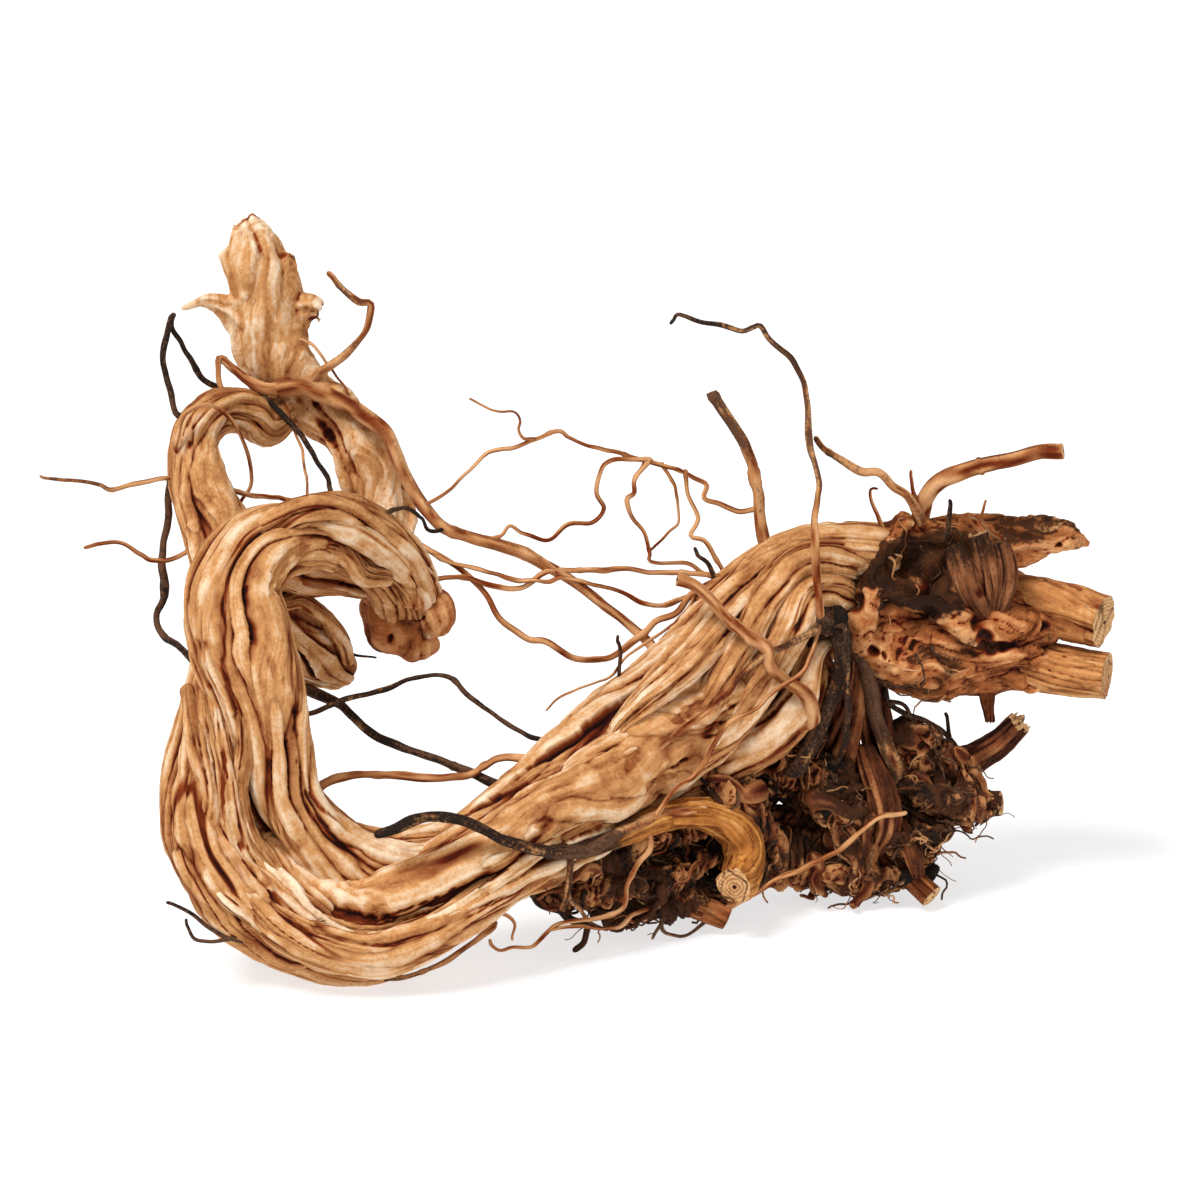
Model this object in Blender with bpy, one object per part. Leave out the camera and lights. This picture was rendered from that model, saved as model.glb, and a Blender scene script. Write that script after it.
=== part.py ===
"""A dry root, grown as one piece of wood.

Two twisted stems leave a knotted root crown and run down to a bend that the root stands on. One rises
again and curls over as a hook, the other climbs behind it, and a third stem stands up at the back. Cut and
broken stubs end the crown, and thin roots leave both the stems and the crown.

Every place below is in millimetres, in a drawing frame: +X to the right, +Y to the back, +Z up from the
ground that the root stands on. BASE_CENTRE is the middle of the root's base in that frame, and it becomes
the origin.
"""

import math

import bpy
import bmesh
from mathutils import Vector

MM = 0.001
BASE_CENTRE = Vector((1.6, 47.0, -0.3))

# How finely a stem and a stub are drawn: the step along it, in millimetres. A thin root keeps its own points.
STEM_STEP = 18.0
STUB_STEP = 14.0
ROOT_STEP = 60.0

# A stem's cross-section has this many ridges with grooves between them, this deep as a share of its radius,
# and the ridges wind round it once in this length.
RIDGES = 8
GROOVE_DEPTH = 0.13
WINDING_LENGTH = 620.0

# A thin root at least this thick, as a radius, has six sides. A thinner one has four.
SIX_SIDED_RADIUS = 2.4

BARK = (0.55, 0.33, 0.17)

# The thick stems: points of the centre line, each with the stem's radius there.
STEMS = {
    "A": [
        (-10, 29, 73, 17), (-41, 2, 64, 18), (-71, -16, 56, 19), (-101, -24, 56, 20),
        (-128, -30, 70, 20), (-147, -34, 97, 20), (-153, -34, 126, 20), (-159, -32, 152, 22.5),
        (-167, -26, 176, 24), (-172, -18, 198, 22), (-163, -6, 215, 20), (-144, 8, 220, 17.5),
        (-123, 24, 214, 16.5), (-102, 42, 198, 15), (-90, 58, 176, 15.5), (-87, 70, 154, 15),
    ],
    "B": [
        (160, 108, 167, 24), (123, 96, 170, 25.5), (93, 86, 155, 27), (67, 75, 127, 30),
        (41, 54, 104, 31), (11, 26, 88, 31), (-18, -3, 73, 29), (-45, -26, 57, 27), (-75, -38, 40, 25),
        (-108, -40, 27, 26), (-140, -40, 34, 26), (-168, -40, 54, 25), (-186, -38, 80, 21),
        (-191, -32, 107, 16), (-187, -22, 135, 14), (-181, -5, 159, 14), (-178, 20, 182, 16),
        (-182, 45, 201, 18), (-191, 65, 219, 16), (-197, 80, 240, 14), (-194, 92, 253, 13.5),
        (-184, 105, 258, 12.5), (-172, 116, 254, 13), (-164, 122, 246, 13), (-155, 130, 250, 12),
    ],
    "C": [
        (-92, 84, 163, 15), (-97, 98, 185, 13), (-101, 112, 205, 14), (-110, 122, 224, 15.5),
        (-124, 130, 241, 15), (-144, 136, 255, 16), (-158, 140, 273, 18.5), (-162, 142, 293, 18.5),
        (-161, 143, 313, 17), (-167, 144, 332, 14.5), (-174, 145, 347, 6),
    ],
    "band": [
        (-86, 66, 168, 12), (-98, 62, 179, 10.5), (-120, 58, 183, 11.5), (-145, 50, 189, 13),
        (-164, 40, 200, 12),
    ],
    "ear": [
        (-163, 44, 183, 14), (-162, 50, 173, 15), (-152, 60, 153, 18), (-138, 70, 138, 18),
        (-125, 76, 129, 13),
    ],
    "head": [(-95, 66, 173, 15), (-91, 72, 153, 16), (-86, 72, 140, 9.5)],
    "knob": [(-83, 66, 168, 12), (-76, 64, 163, 9.5)],
}

# The crown's swellings: a centre, and how far each reaches along X, Y and Z.
SWELLINGS = {
    "crown": ((183, 110, 160), (44, 40, 32)),
    "crown_right": ((220, 110, 144), (36, 34, 30)),
    "crown_low": ((196, 100, 131), (42, 34, 22)),
    "shoulder": ((154, 98, 159), (26, 30, 26)),
    "heart": ((100, 88, 86), (34, 34, 36)),
    "cheek": ((73, 73, 61), (32, 32, 28)),
    "chin": ((47, 58, 30), (34, 30, 20)),
    "foot_left": ((20, 51, 32), (30, 20, 13)),
    "belly": ((137, 96, 56), (36, 32, 26)),
    "rump": ((169, 104, 40), (30, 34, 26)),
    "tail": ((190, 110, 57), (24, 26, 20)),
    "keel": ((140, 94, 25), (34, 26, 14)),
    "knob": ((123, 56, 161), (14, 12, 14)),
    "waist": ((104, 82, 32), (30, 26, 24)),
}

# Sawn and broken ends: the radius at the crown, the radius at the tip, and the centre line.
STUBS = {
    "broken_top": (15, 4, [
        (197, 109, 169), (209, 108, 177), (226, 104, 188), (242, 102, 191), (260, 100, 190),
    ]),
    "sawn_upper": (14, 13, [
        (229, 107, 151), (232, 106, 153), (248, 100, 151), (262, 94, 148), (269, 90, 148),
    ]),
    "sawn_lower": (14, 12.5, [
        (218, 106, 135), (217, 104, 130), (237, 96, 124), (255, 90, 122), (271, 85, 122),
    ]),
    "drip": (7, 2, [(204, 99, 122), (209, 98, 115), (211, 96, 105), (212, 94, 94)]),
    "torn": (9, 6, [(190, 106, 61), (190, 104, 64), (205, 100, 73), (217, 94, 83), (227, 90, 95)]),
    "hollow": (9, 6.5, [(191, 106, 52), (192, 102, 48), (205, 96, 49), (218, 92, 50)]),
    "sawn_foot": (7, 6, [(149, 89, 26), (155, 86, 26), (168, 76, 18), (182, 67, 8)]),
    "pale_cut": (14, 11, [(76, 62, 59), (81, 45, 56), (84, 41, 42), (81, 33, 30)]),
    "low_cut": (7, 6.5, [(49, 45, 24), (51, 33, 19), (64, 33, 13), (75, 33, 8)]),
    "face_stub": (18, 15, [(189, 99, 163), (195, 90, 166), (206, 66, 171), (208, 52, 174)]),
    "rear_foot": (16, 10, [(165, 113, 40), (157, 130, 39), (150, 140, 18), (142, 147, 6)]),
    "back_prop": (13, 8, [
        (-167, -36, 62), (-159, -30, 67), (-155, 10, 39), (-152, 45, 17), (-151, 62, 9),
    ]),
    "spike": (13, 1.5, [(-162, 142, 298), (-177, 137, 305), (-189, 135, 309), (-204, 132, 306)]),
    "bump": (9, 5, [(-158, 141, 300), (-152, 138, 300), (-142, 134, 302), (-134, 130, 300)]),
}

# Thin roots: the radius where each starts, the radius where it ends, and the centre line.
THIN_ROOTS = {
    "crossing_start": (1.2, 3.6, [
        (-183, 110, 262), (-186, 120, 281), (-179, 122, 275), (-171, 121, 270), (-161, 118, 266),
        (-144, 116, 267),
    ]),
    "crossing_root": (4.2, 2.6, [
        (-152, 131, 265), (-154, 117, 266), (-144, 116, 267), (-127, 112, 263), (-110, 106, 255),
        (-100, 102, 248), (-95, 98, 236), (-89, 94, 223), (-80, 88, 211), (-70, 82, 203),
        (-57, 81, 198), (-43, 81, 194), (-29, 84, 188), (-12, 88, 177), (2, 91, 167), (16, 92, 155),
        (31, 91, 142), (44, 81, 130),
    ]),
    "tall_whip": (2.0, 1.0, [
        (122, 53, 164), (122, 50, 167), (120, 48, 187), (118, 50, 210), (120, 52, 226), (121, 52, 235),
        (117, 55, 248), (115, 57, 264), (114, 59, 279), (112, 60, 287), (107, 62, 295), (101, 64, 301),
        (95, 65, 307), (91, 66, 313), (87, 67, 312), (81, 67, 310), (71, 67, 313), (62, 65, 315),
        (52, 63, 319), (48, 61, 320), (46, 61, 316),
    ]),
    "banded_stub": (3.1, 2.7, [
        (101, 99, 177), (95, 104, 185), (92, 108, 201), (91, 110, 214), (89, 112, 226), (85, 113, 236),
        (79, 114, 245), (73, 115, 255), (67, 115, 265),
    ]),
    "forked_root": (2.6, 1.7, [
        (174, 103, 198), (174, 92, 206), (168, 86, 217), (160, 82, 224), (152, 80, 232),
        (143, 78, 233), (132, 76, 240), (124, 75, 245), (120, 74, 251),
    ]),
    "sawn_branch": (4.8, 3.8, [
        (177, 106, 181), (174, 104, 192), (174, 102, 205), (178, 98, 216), (184, 96, 223),
        (194, 94, 228), (206, 92, 233), (220, 90, 236), (235, 87, 240), (246, 85, 242),
    ]),
    "hooked_twig": (1.2, 0.8, [
        (152, 97, 184), (155, 90, 197), (151, 86, 209), (148, 84, 217), (148, 83, 222), (151, 82, 223),
    ]),
    "dark_peg": (1.4, 1.0, [(186, 99, 184), (189, 90, 203), (189, 86, 215)]),
    "pale_peg": (1.3, 0.8, [(217, 101, 190), (206, 90, 203), (206, 88, 210), (207, 86, 215)]),
    "shard": (1.7, 0.8, [(175, 101, 207), (171, 94, 218), (169, 92, 229)]),
    "net_top": (1.3, 1.0, [
        (92, 109, 204), (82, 113, 202), (72, 115, 205), (64, 115, 209), (65, 118, 215), (58, 118, 219),
        (50, 118, 223), (35, 114, 229), (20, 110, 234), (7, 105, 238), (-6, 100, 245), (-12, 98, 249),
        (-24, 93, 246), (-35, 90, 242), (-48, 87, 239), (-56, 86, 231), (-73, 84, 217), (-81, 89, 212),
    ]),
    "net_tip": (0.9, 0.6, [
        (-24, 93, 246), (-29, 91, 247), (-32, 92, 251), (-31, 94, 256), (-34, 94, 260), (-43, 93, 261),
        (-56, 94, 267),
    ]),
    "net_left": (1.3, 1.0, [
        (35, 114, 229), (21, 108, 231), (15, 105, 231), (11, 104, 227), (8, 103, 215), (12, 107, 205),
        (6, 104, 198), (-6, 96, 200), (-17, 90, 193), (-29, 85, 198), (-36, 84, 203), (-41, 82, 198),
        (-51, 81, 196),
    ]),
    "net_loop": (1.3, 1.1, [
        (34, 114, 228), (28, 107, 221), (28, 105, 214), (24, 102, 211), (27, 103, 201), (32, 104, 194),
        (36, 103, 183), (37, 102, 178), (55, 107, 175), (63, 105, 171), (73, 99, 169), (78, 96, 165),
    ]),
    "net_thread": (0.9, 0.7, [
        (42, 116, 226), (48, 119, 214), (51, 118, 196), (45, 113, 190), (36, 103, 184),
    ]),
    "net_right": (1.2, 1.0, [
        (54, 118, 221), (56, 118, 209), (61, 116, 197), (57, 112, 189), (64, 111, 186), (72, 106, 175),
        (74, 99, 169), (79, 96, 166),
    ]),
    "net_mid": (1.5, 1.3, [
        (79, 94, 167), (74, 97, 171), (62, 102, 172), (46, 104, 172), (21, 98, 175), (2, 93, 176),
        (-13, 87, 178), (-19, 84, 177), (-27, 83, 171), (-36, 81, 170), (-49, 78, 173), (-57, 77, 176),
        (-66, 77, 177), (-82, 78, 174), (-87, 82, 170),
    ]),
    "net_under": (1.3, 1.1, [
        (71, 100, 169), (62, 98, 163), (53, 98, 159), (42, 97, 156), (33, 96, 158), (20, 95, 164),
        (7, 91, 169), (-9, 86, 174), (-16, 85, 172), (-25, 82, 174), (-37, 81, 176), (-53, 79, 181),
        (-67, 81, 184), (-80, 86, 190), (-92, 92, 195), (-95, 96, 192),
    ]),
    "net_low": (1.9, 1.4, [
        (79, 94, 166), (73, 97, 170), (58, 95, 163), (49, 89, 154), (38, 86, 151), (31, 87, 142),
        (21, 86, 135), (12, 85, 131), (-3, 80, 133), (-17, 78, 142), (-27, 77, 144), (-40, 77, 154),
        (-49, 80, 168), (-59, 81, 178), (-73, 84, 187), (-86, 90, 192), (-93, 95, 188),
    ]),
    "net_wisp": (0.9, 0.6, [
        (59, 95, 164), (54, 88, 155), (41, 82, 146), (24, 68, 138), (16, 54, 132), (5, 39, 132),
        (-10, 25, 130), (-17, 18, 125),
    ]),
    "black_spur": (1.2, 0.9, [(25, 56, 123), (20, 57, 130), (21, 56, 142), (19, 52, 153)]),
    "black_fork": (1.2, 0.8, [(69, 99, 171), (65, 100, 178), (60, 99, 182), (59, 101, 185)]),
    "ear_root": (2.6, 2.2, [
        (-142, 68, 129), (-144, 66, 123), (-126, 58, 117), (-117, 52, 111), (-105, 44, 103),
        (-92, 36, 100), (-78, 28, 98), (-66, 21, 95), (-55, 18, 91), (-41, 12, 86), (-34, 8, 82),
    ]),
    "cross_bar": (2.2, 2.0, [
        (-140, -22, 87), (-129, -12, 95), (-116, -2, 96), (-99, 6, 94), (-79, 10, 92), (-56, 13, 92),
        (-47, 13, 97), (-41, 12, 101), (-25, 14, 100), (-21, 13, 95),
    ]),
    "dark_arc": (1.5, 1.2, [
        (-149, -21, 121), (-141, 10, 123), (-132, 16, 125), (-117, 26, 129), (-99, 34, 131),
        (-86, 38, 135), (-69, 40, 136), (-57, 37, 127), (-45, 34, 119), (-34, 32, 111), (-18, 25, 106),
        (-13, 23, 100),
    ]),
    "dark_tip": (0.9, 0.6, [(-123, 73, 137), (-121, 72, 140), (-115, 70, 138), (-105, 68, 137)]),
    "front_root": (3.4, 2.6, [
        (83, 39, 52), (76, 30, 64), (64, 22, 70), (52, 13, 72), (40, 5, 73), (27, -5, 71),
        (14, -16, 68), (3, -25, 65), (-12, -36, 68), (-19, -42, 71), (-34, -53, 78), (-48, -60, 88),
        (-61, -62, 94), (-74, -62, 95), (-89, -60, 89), (-99, -58, 85),
    ]),
    "broken_branch": (3.6, 3.0, [
        (109, 68, 98), (118, 46, 112), (113, 38, 128), (104, 34, 137), (96, 32, 145), (93, 32, 154),
        (86, 33, 159), (77, 34, 167), (67, 35, 177), (58, 35, 185), (49, 34, 189),
    ]),
    "purple_root": (1.8, 1.3, [
        (121, 52, 160), (118, 44, 158), (104, 36, 154), (93, 30, 150), (81, 27, 140), (71, 24, 129),
        (59, 19, 120), (47, 15, 112), (36, 11, 103), (30, 13, 95),
    ]),
    "pale_root": (1.1, 1.4, [
        (121, 51, 157), (114, 30, 143), (100, 28, 133), (89, 26, 123), (77, 22, 118), (69, 20, 108),
        (64, 18, 98), (58, 15, 91), (50, 11, 87), (43, 6, 80), (37, 2, 72),
    ]),
    "low_right_root": (1.6, 1.3, [
        (69, 35, 10), (75, 31, 14), (89, 30, 23), (104, 28, 33), (117, 30, 38), (132, 32, 45),
        (143, 36, 54), (153, 40, 60), (166, 50, 59),
    ]),
    "black_right": (1.5, 1.1, [
        (166, 92, 124), (159, 90, 122), (158, 84, 109), (168, 86, 101), (178, 90, 96), (188, 96, 87),
        (194, 102, 79), (197, 102, 73),
    ]),
    "black_prong": (1.2, 0.8, [(159, 84, 108), (166, 84, 107), (170, 86, 101), (174, 90, 92)]),
    "black_stud": (1.2, 1.0, [(191, 99, 83), (189, 94, 98)]),
    "pillar_front": (5.0, 4.4, [
        (125, 57, 160), (130, 60, 158), (133, 56, 139), (129, 54, 121), (121, 52, 103), (111, 52, 83),
        (107, 65, 84),
    ]),
    "pillar_back": (4.8, 4.0, [
        (146, 85, 150), (141, 76, 144), (148, 76, 122), (152, 76, 104), (159, 78, 84), (164, 80, 70),
        (155, 85, 65),
    ]),
    "pillar_thin": (1.8, 1.6, [
        (128, 54, 159), (135, 50, 157), (136, 46, 132), (136, 48, 110), (132, 54, 86), (118, 69, 86),
    ]),
    "floor_root": (1.5, 0.8, [
        (34, 0, 72), (35, -2, 59), (31, -5, 53), (26, -8, 46), (23, -9, 39), (22, -8, 30),
        (17, -9, 26), (6, -16, 25), (-6, -24, 26), (-13, -28, 25), (-20, -33, 20), (-26, -36, 17),
        (-34, -40, 19), (-40, -44, 19), (-45, -46, 24),
    ]),
    "floor_wisp": (1.2, 0.9, [
        (47, 21, 20), (37, 14, 21), (27, 5, 20), (21, -1, 16), (14, -8, 17), (0, -19, 22),
        (-14, -29, 24),
    ]),
    "hanging_root": (1.7, 1.4, [
        (-10, -24, 67), (-5, -29, 66), (-5, -29, 54), (-7, -28, 41), (-9, -28, 36),
    ]),
    "hanging_wisp": (1.2, 1.0, [
        (-7, -28, 44), (-5, -23, 38), (1, -17, 29), (6, -13, 21), (13, -9, 17),
    ]),
    "foot_loop": (1.2, 0.9, [
        (43, 20, 21), (41, 17, 12), (42, 17, 7), (47, 20, 4), (55, 25, 2), (61, 30, 5), (68, 35, 9),
    ]),
    "foot_fork": (1.3, 0.9, [(45, 21, 21), (43, 17, 13), (37, 12, 5)]),
    "bend_spur": (1.0, 0.7, [(-43, -41, 40), (-33, -37, 31), (-34, -40, 23)]),
    "bend_vein": (1.6, 1.0, [
        (-47, -35, 35), (-43, -37, 29), (-50, -40, 24), (-60, -44, 18), (-75, -46, 10), (-87, -45, 5),
        (-101, -44, 3), (-117, -44, 3), (-130, -44, 7), (-129, -43, 12),
    ]),
    "left_whisker": (1.4, 0.9, [
        (-157, -53, 29), (-159, -56, 26), (-175, -58, 30), (-185, -58, 35), (-194, -57, 42),
        (-205, -56, 48),
    ]),
    "left_fork": (1.1, 0.8, [(-173, -58, 30), (-185, -60, 29), (-193, -60, 31), (-196, -60, 40)]),
    "dark_drop": (1.9, 1.7, [
        (-203, 78, 235), (-206, 78, 234), (-210, 76, 219), (-211, 72, 203), (-213, 66, 190),
        (-212, 56, 174), (-215, 46, 165), (-211, 36, 158), (-201, 20, 157), (-189, -7, 152),
    ]),
    "v_left": (1.8, 1.4, [
        (-199, 92, 256), (-205, 92, 259), (-207, 92, 263), (-210, 96, 277), (-213, 100, 288),
        (-210, 104, 299), (-208, 108, 307),
    ]),
    "v_right": (1.4, 1.5, [
        (-167, 121, 256), (-176, 124, 260), (-185, 120, 266), (-194, 116, 272), (-200, 112, 284),
        (-204, 110, 292), (-208, 108, 300), (-208, 108, 307),
    ]),
    "far_left_root": (1.4, 0.8, [
        (-202, 73, 231), (-206, 72, 231), (-211, 66, 233), (-227, 60, 232), (-238, 56, 230),
        (-243, 54, 233), (-250, 52, 235), (-263, 50, 237), (-272, 48, 239),
    ]),
    "far_left_low": (1.5, 0.9, [
        (-190, 60, 205), (-196, 50, 201), (-206, 44, 197), (-217, 40, 197), (-222, 38, 201),
        (-231, 36, 208), (-242, 34, 208), (-249, 34, 206),
    ]),
    "inner_loop": (1.3, 0.9, [
        (-200, 74, 243), (-205, 66, 248), (-203, 66, 261), (-198, 68, 268), (-188, 72, 270),
        (-179, 78, 262), (-172, 84, 247), (-169, 90, 233), (-169, 94, 221), (-174, 84, 215),
        (-182, 64, 209),
    ]),
    "inner_bar": (1.2, 1.3, [
        (-191, 62, 230), (-190, 60, 232), (-185, 72, 227), (-170, 86, 219), (-155, 96, 214),
        (-144, 98, 211), (-129, 102, 208), (-104, 104, 204),
    ]),
    "inner_dark": (1.5, 1.3, [
        (-168, 117, 258), (-164, 118, 262), (-155, 112, 256), (-144, 104, 246), (-136, 96, 236),
        (-129, 84, 228), (-126, 50, 226), (-125, 26, 222),
    ]),
    "inner_thread": (0.9, 0.7, [
        (-155, 124, 253), (-152, 118, 258), (-145, 104, 244), (-141, 88, 235), (-138, 50, 230),
        (-136, 19, 227),
    ]),
    "top_curl": (2.2, 1.6, [
        (-141, 131, 262), (-135, 126, 272), (-128, 122, 278), (-116, 118, 289), (-109, 116, 299),
        (-107, 116, 311), (-114, 116, 313), (-123, 118, 320), (-128, 120, 326),
    ]),
    "top_thread": (0.9, 0.6, [
        (-150, 135, 287), (-144, 132, 289), (-138, 126, 287), (-133, 122, 282), (-128, 122, 275),
        (-121, 120, 266), (-118, 118, 257), (-116, 114, 250), (-119, 122, 244),
    ]),
    "hook_whisker": (1.1, 0.9, [
        (-116, 26, 221), (-111, 22, 225), (-99, 30, 225), (-88, 46, 223), (-81, 60, 214),
        (-76, 74, 203), (-68, 82, 202),
    ]),
}


def clear_scene():
    for obj in list(bpy.data.objects):
        bpy.data.objects.remove(obj)


def new_collection(name):
    collection = bpy.data.collections.new(name)
    bpy.context.scene.collection.children.link(collection)
    return collection


def wood():
    material = bpy.data.materials.new("dry wood")
    material.use_nodes = True
    shader = material.node_tree.nodes["Principled BSDF"]
    shader.inputs["Base Color"].default_value = (*BARK, 1.0)
    shader.inputs["Roughness"].default_value = 0.8
    shader.inputs["Metallic"].default_value = 0.0
    return material


def between(before, start, end, after, t):
    """A point on the smooth curve through four values, t of the way from start to end."""
    return 0.5 * (
        2 * start
        + (end - before) * t
        + (2 * before - 5 * start + 4 * end - after) * t**2
        + (3 * start - before - 3 * end + after) * t**3
    )


def smooth_line(points, radii, step):
    """The places and radii at about every step along a smooth curve through the points."""
    places = [Vector(point) for point in points]
    places = [2 * places[0] - places[1], *places, 2 * places[-1] - places[-2]]
    radii = [radii[0], *radii, radii[-1]]
    line = []
    for i in range(1, len(places) - 2):
        count = max(1, round((places[i + 1] - places[i]).length / step))
        for k in range(count):
            t = k / count
            line.append((between(*places[i - 1 : i + 3], t), between(*radii[i - 1 : i + 3], t)))
    line.append((places[-2], radii[-2]))
    return line


def ridged_outline():
    """A closed outline with a ridge at every other point, of radius 1 mm, which a stem's curve carries."""
    outline = bpy.data.curves.new("ridged outline", "CURVE")
    outline.dimensions = "2D"
    spline = outline.splines.new("POLY")
    count = 2 * RIDGES
    spline.points.add(count - 1)
    for i, point in enumerate(spline.points):
        angle = 2 * math.pi * i / count
        radius = MM * (1.0 if i % 2 == 0 else 1.0 - GROOVE_DEPTH)
        point.co = (radius * math.cos(angle), radius * math.sin(angle), 0.0, 1.0)
    spline.use_cyclic_u = True
    guide = bpy.data.objects.new("ridged outline", outline)
    guide.hide_render = True
    return guide


def curve_along(name, line):
    """A curve object on the line's places, which carries each place's radius in millimetres."""
    curve = bpy.data.curves.new(name, "CURVE")
    curve.dimensions = "3D"
    curve.use_fill_caps = True
    spline = curve.splines.new("POLY")
    spline.points.add(len(line) - 1)
    for point, (place, radius) in zip(spline.points, line):
        point.co = (*((place - BASE_CENTRE) * MM), 1.0)
        point.radius = radius
    return bpy.data.objects.new(name, curve)


def closed_mesh(curve_object, collection):
    """The curve as a mesh object whose caps are welded to its sides."""
    bpy.context.scene.collection.objects.link(curve_object)
    graph = bpy.context.evaluated_depsgraph_get()
    mesh = bpy.data.meshes.new_from_object(curve_object.evaluated_get(graph))
    shape = bmesh.new()
    shape.from_mesh(mesh)
    bmesh.ops.remove_doubles(shape, verts=shape.verts, dist=0.00002)
    bmesh.ops.recalc_face_normals(shape, faces=shape.faces)
    shape.to_mesh(mesh)
    shape.free()
    solid = bpy.data.objects.new(curve_object.name, mesh)
    collection.objects.link(solid)
    bpy.data.objects.remove(curve_object)
    return solid


def stem(name, points, outline, collection):
    """A thick stem with winding ridges."""
    line = smooth_line([p[:3] for p in points], [p[3] for p in points], STEM_STEP)
    curve_object = curve_along(name, line)
    curve = curve_object.data
    curve.bevel_mode = "OBJECT"
    curve.bevel_object = outline
    for i, point in enumerate(curve.splines[0].points):
        point.tilt = 2 * math.pi * i * STEM_STEP / WINDING_LENGTH
    return closed_mesh(curve_object, collection)


def tapered(name, start_radius, end_radius, points, step, sides, collection):
    """A round root or stub that thins from one end to the other."""
    last = len(points) - 1
    radii = [start_radius + (end_radius - start_radius) * i / last for i in range(last + 1)]
    line = smooth_line(points, radii, step)
    curve_object = curve_along(name, line)
    curve_object.data.bevel_depth = MM
    curve_object.data.bevel_resolution = (sides - 4) // 2
    return closed_mesh(curve_object, collection)


def swelling(name, centre, reach, collection):
    """A rounded lump of the crown."""
    bpy.ops.mesh.primitive_ico_sphere_add(subdivisions=2, radius=1.0)
    lump = bpy.context.object
    lump.name = name
    for vertex in lump.data.vertices:
        place = Vector(centre) + Vector(a * b for a, b in zip(vertex.co, reach))
        vertex.co = (place - BASE_CENTRE) * MM
    for holder in list(lump.users_collection):
        holder.objects.unlink(lump)
    collection.objects.link(lump)
    return lump


def islands(shape):
    """The faces of each separate shell."""
    unseen = set(shape.faces)
    while unseen:
        shell = []
        queue = [unseen.pop()]
        while queue:
            face = queue.pop()
            shell.append(face)
            for edge in face.edges:
                if len(edge.link_faces) != 2:
                    continue
                for other in edge.link_faces:
                    if other in unseen:
                        unseen.remove(other)
                        queue.append(other)
        yield shell


def volume(shell):
    """Three times the volume of a shell, which is negative when the shell faces inward."""
    middle = shell[0].verts[0].co
    return sum(face.calc_area() * face.normal.dot(face.calc_center_median() - middle) for face in shell)


def keep_outside(mesh):
    """Fills the hollows that lumps and stems close off between them, so that the wood is solid."""
    shape = bmesh.new()
    shape.from_mesh(mesh)
    outer = max(islands(shape), key=len)
    kept = set(outer)
    for shell in [shell for shell in islands(shape) if shell[0] not in kept]:
        if volume(shell) > 0:
            raise RuntimeError("a root doesn't reach the wood")
        bmesh.ops.delete(shape, geom=shell, context="FACES")
    shape.to_mesh(mesh)
    shape.free()


def build():
    clear_scene()
    whole = new_collection("dry root")
    pieces = new_collection("shapes joined into the root")
    outline = ridged_outline()
    pieces.objects.link(outline)
    body = None
    for name, points in STEMS.items():
        made = stem(name, points, outline, pieces)
        body = body or made
    for name, (centre, reach) in SWELLINGS.items():
        swelling(name, centre, reach, pieces)
    for name, (start_radius, end_radius, points) in STUBS.items():
        tapered(name, start_radius, end_radius, points, STUB_STEP, 8, pieces)
    for name, (start_radius, end_radius, points) in THIN_ROOTS.items():
        sides = 6 if max(start_radius, end_radius) >= SIX_SIDED_RADIUS else 4
        tapered(name, start_radius, end_radius, points, ROOT_STEP, sides, pieces)
    pieces.objects.unlink(outline)
    bpy.data.objects.remove(outline)

    pieces.objects.unlink(body)
    whole.objects.link(body)
    join = body.modifiers.new("grown together", "BOOLEAN")
    join.operation = "UNION"
    join.operand_type = "COLLECTION"
    join.collection = pieces
    join.solver = "EXACT"
    bpy.context.view_layer.update()
    graph = bpy.context.evaluated_depsgraph_get()
    mesh = bpy.data.meshes.new_from_object(body.evaluated_get(graph))
    keep_outside(mesh)
    root = bpy.data.objects.new("dry_root", mesh)
    whole.objects.link(root)
    mesh.materials.clear()
    mesh.materials.append(wood())
    for piece in [body, *pieces.objects]:
        bpy.data.objects.remove(piece)
    bpy.data.collections.remove(pieces)
    for face in mesh.polygons:
        face.use_smooth = True


build()
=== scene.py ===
import math
import bpy
import numpy as np
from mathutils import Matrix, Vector
from mathutils.bvhtree import BVHTree


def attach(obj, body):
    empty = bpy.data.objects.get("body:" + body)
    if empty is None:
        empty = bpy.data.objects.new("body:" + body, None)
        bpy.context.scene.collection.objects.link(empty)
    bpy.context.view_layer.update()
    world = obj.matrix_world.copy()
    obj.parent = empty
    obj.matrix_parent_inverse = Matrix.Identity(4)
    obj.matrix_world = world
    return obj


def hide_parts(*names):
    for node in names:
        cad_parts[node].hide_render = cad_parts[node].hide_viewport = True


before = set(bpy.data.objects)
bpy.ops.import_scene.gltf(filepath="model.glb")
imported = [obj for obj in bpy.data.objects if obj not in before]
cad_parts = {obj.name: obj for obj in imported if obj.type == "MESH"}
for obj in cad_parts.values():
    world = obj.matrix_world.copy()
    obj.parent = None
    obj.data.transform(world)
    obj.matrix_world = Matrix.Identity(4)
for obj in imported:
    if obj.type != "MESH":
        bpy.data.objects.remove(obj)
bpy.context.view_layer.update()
bpy.ops.object.select_all(action="DESELECT")
print("frame loaded")

baseCentre = np.array([1.6, 47.0, -0.3])     # where the origin is, in the millimetres of the routes below
turn = 2 * math.pi


# Noise and cells, worked out for many places at once.

def lattice(ix, iy, iz, seed):               # a number from 0 to 1 for each whole-number place
    h = (ix * 374761393 + iy * 668265263 + iz * 1442695041 + seed * 974634777) & 0xFFFFFFFF
    h = ((h ^ (h >> 13)) * 1274126177) & 0xFFFFFFFF
    h = ((h ^ (h >> 15)) * 1103515245) & 0xFFFFFFFF
    return ((h ^ (h >> 16)) & 0xFFFFFF) / 0xFFFFFF


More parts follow.
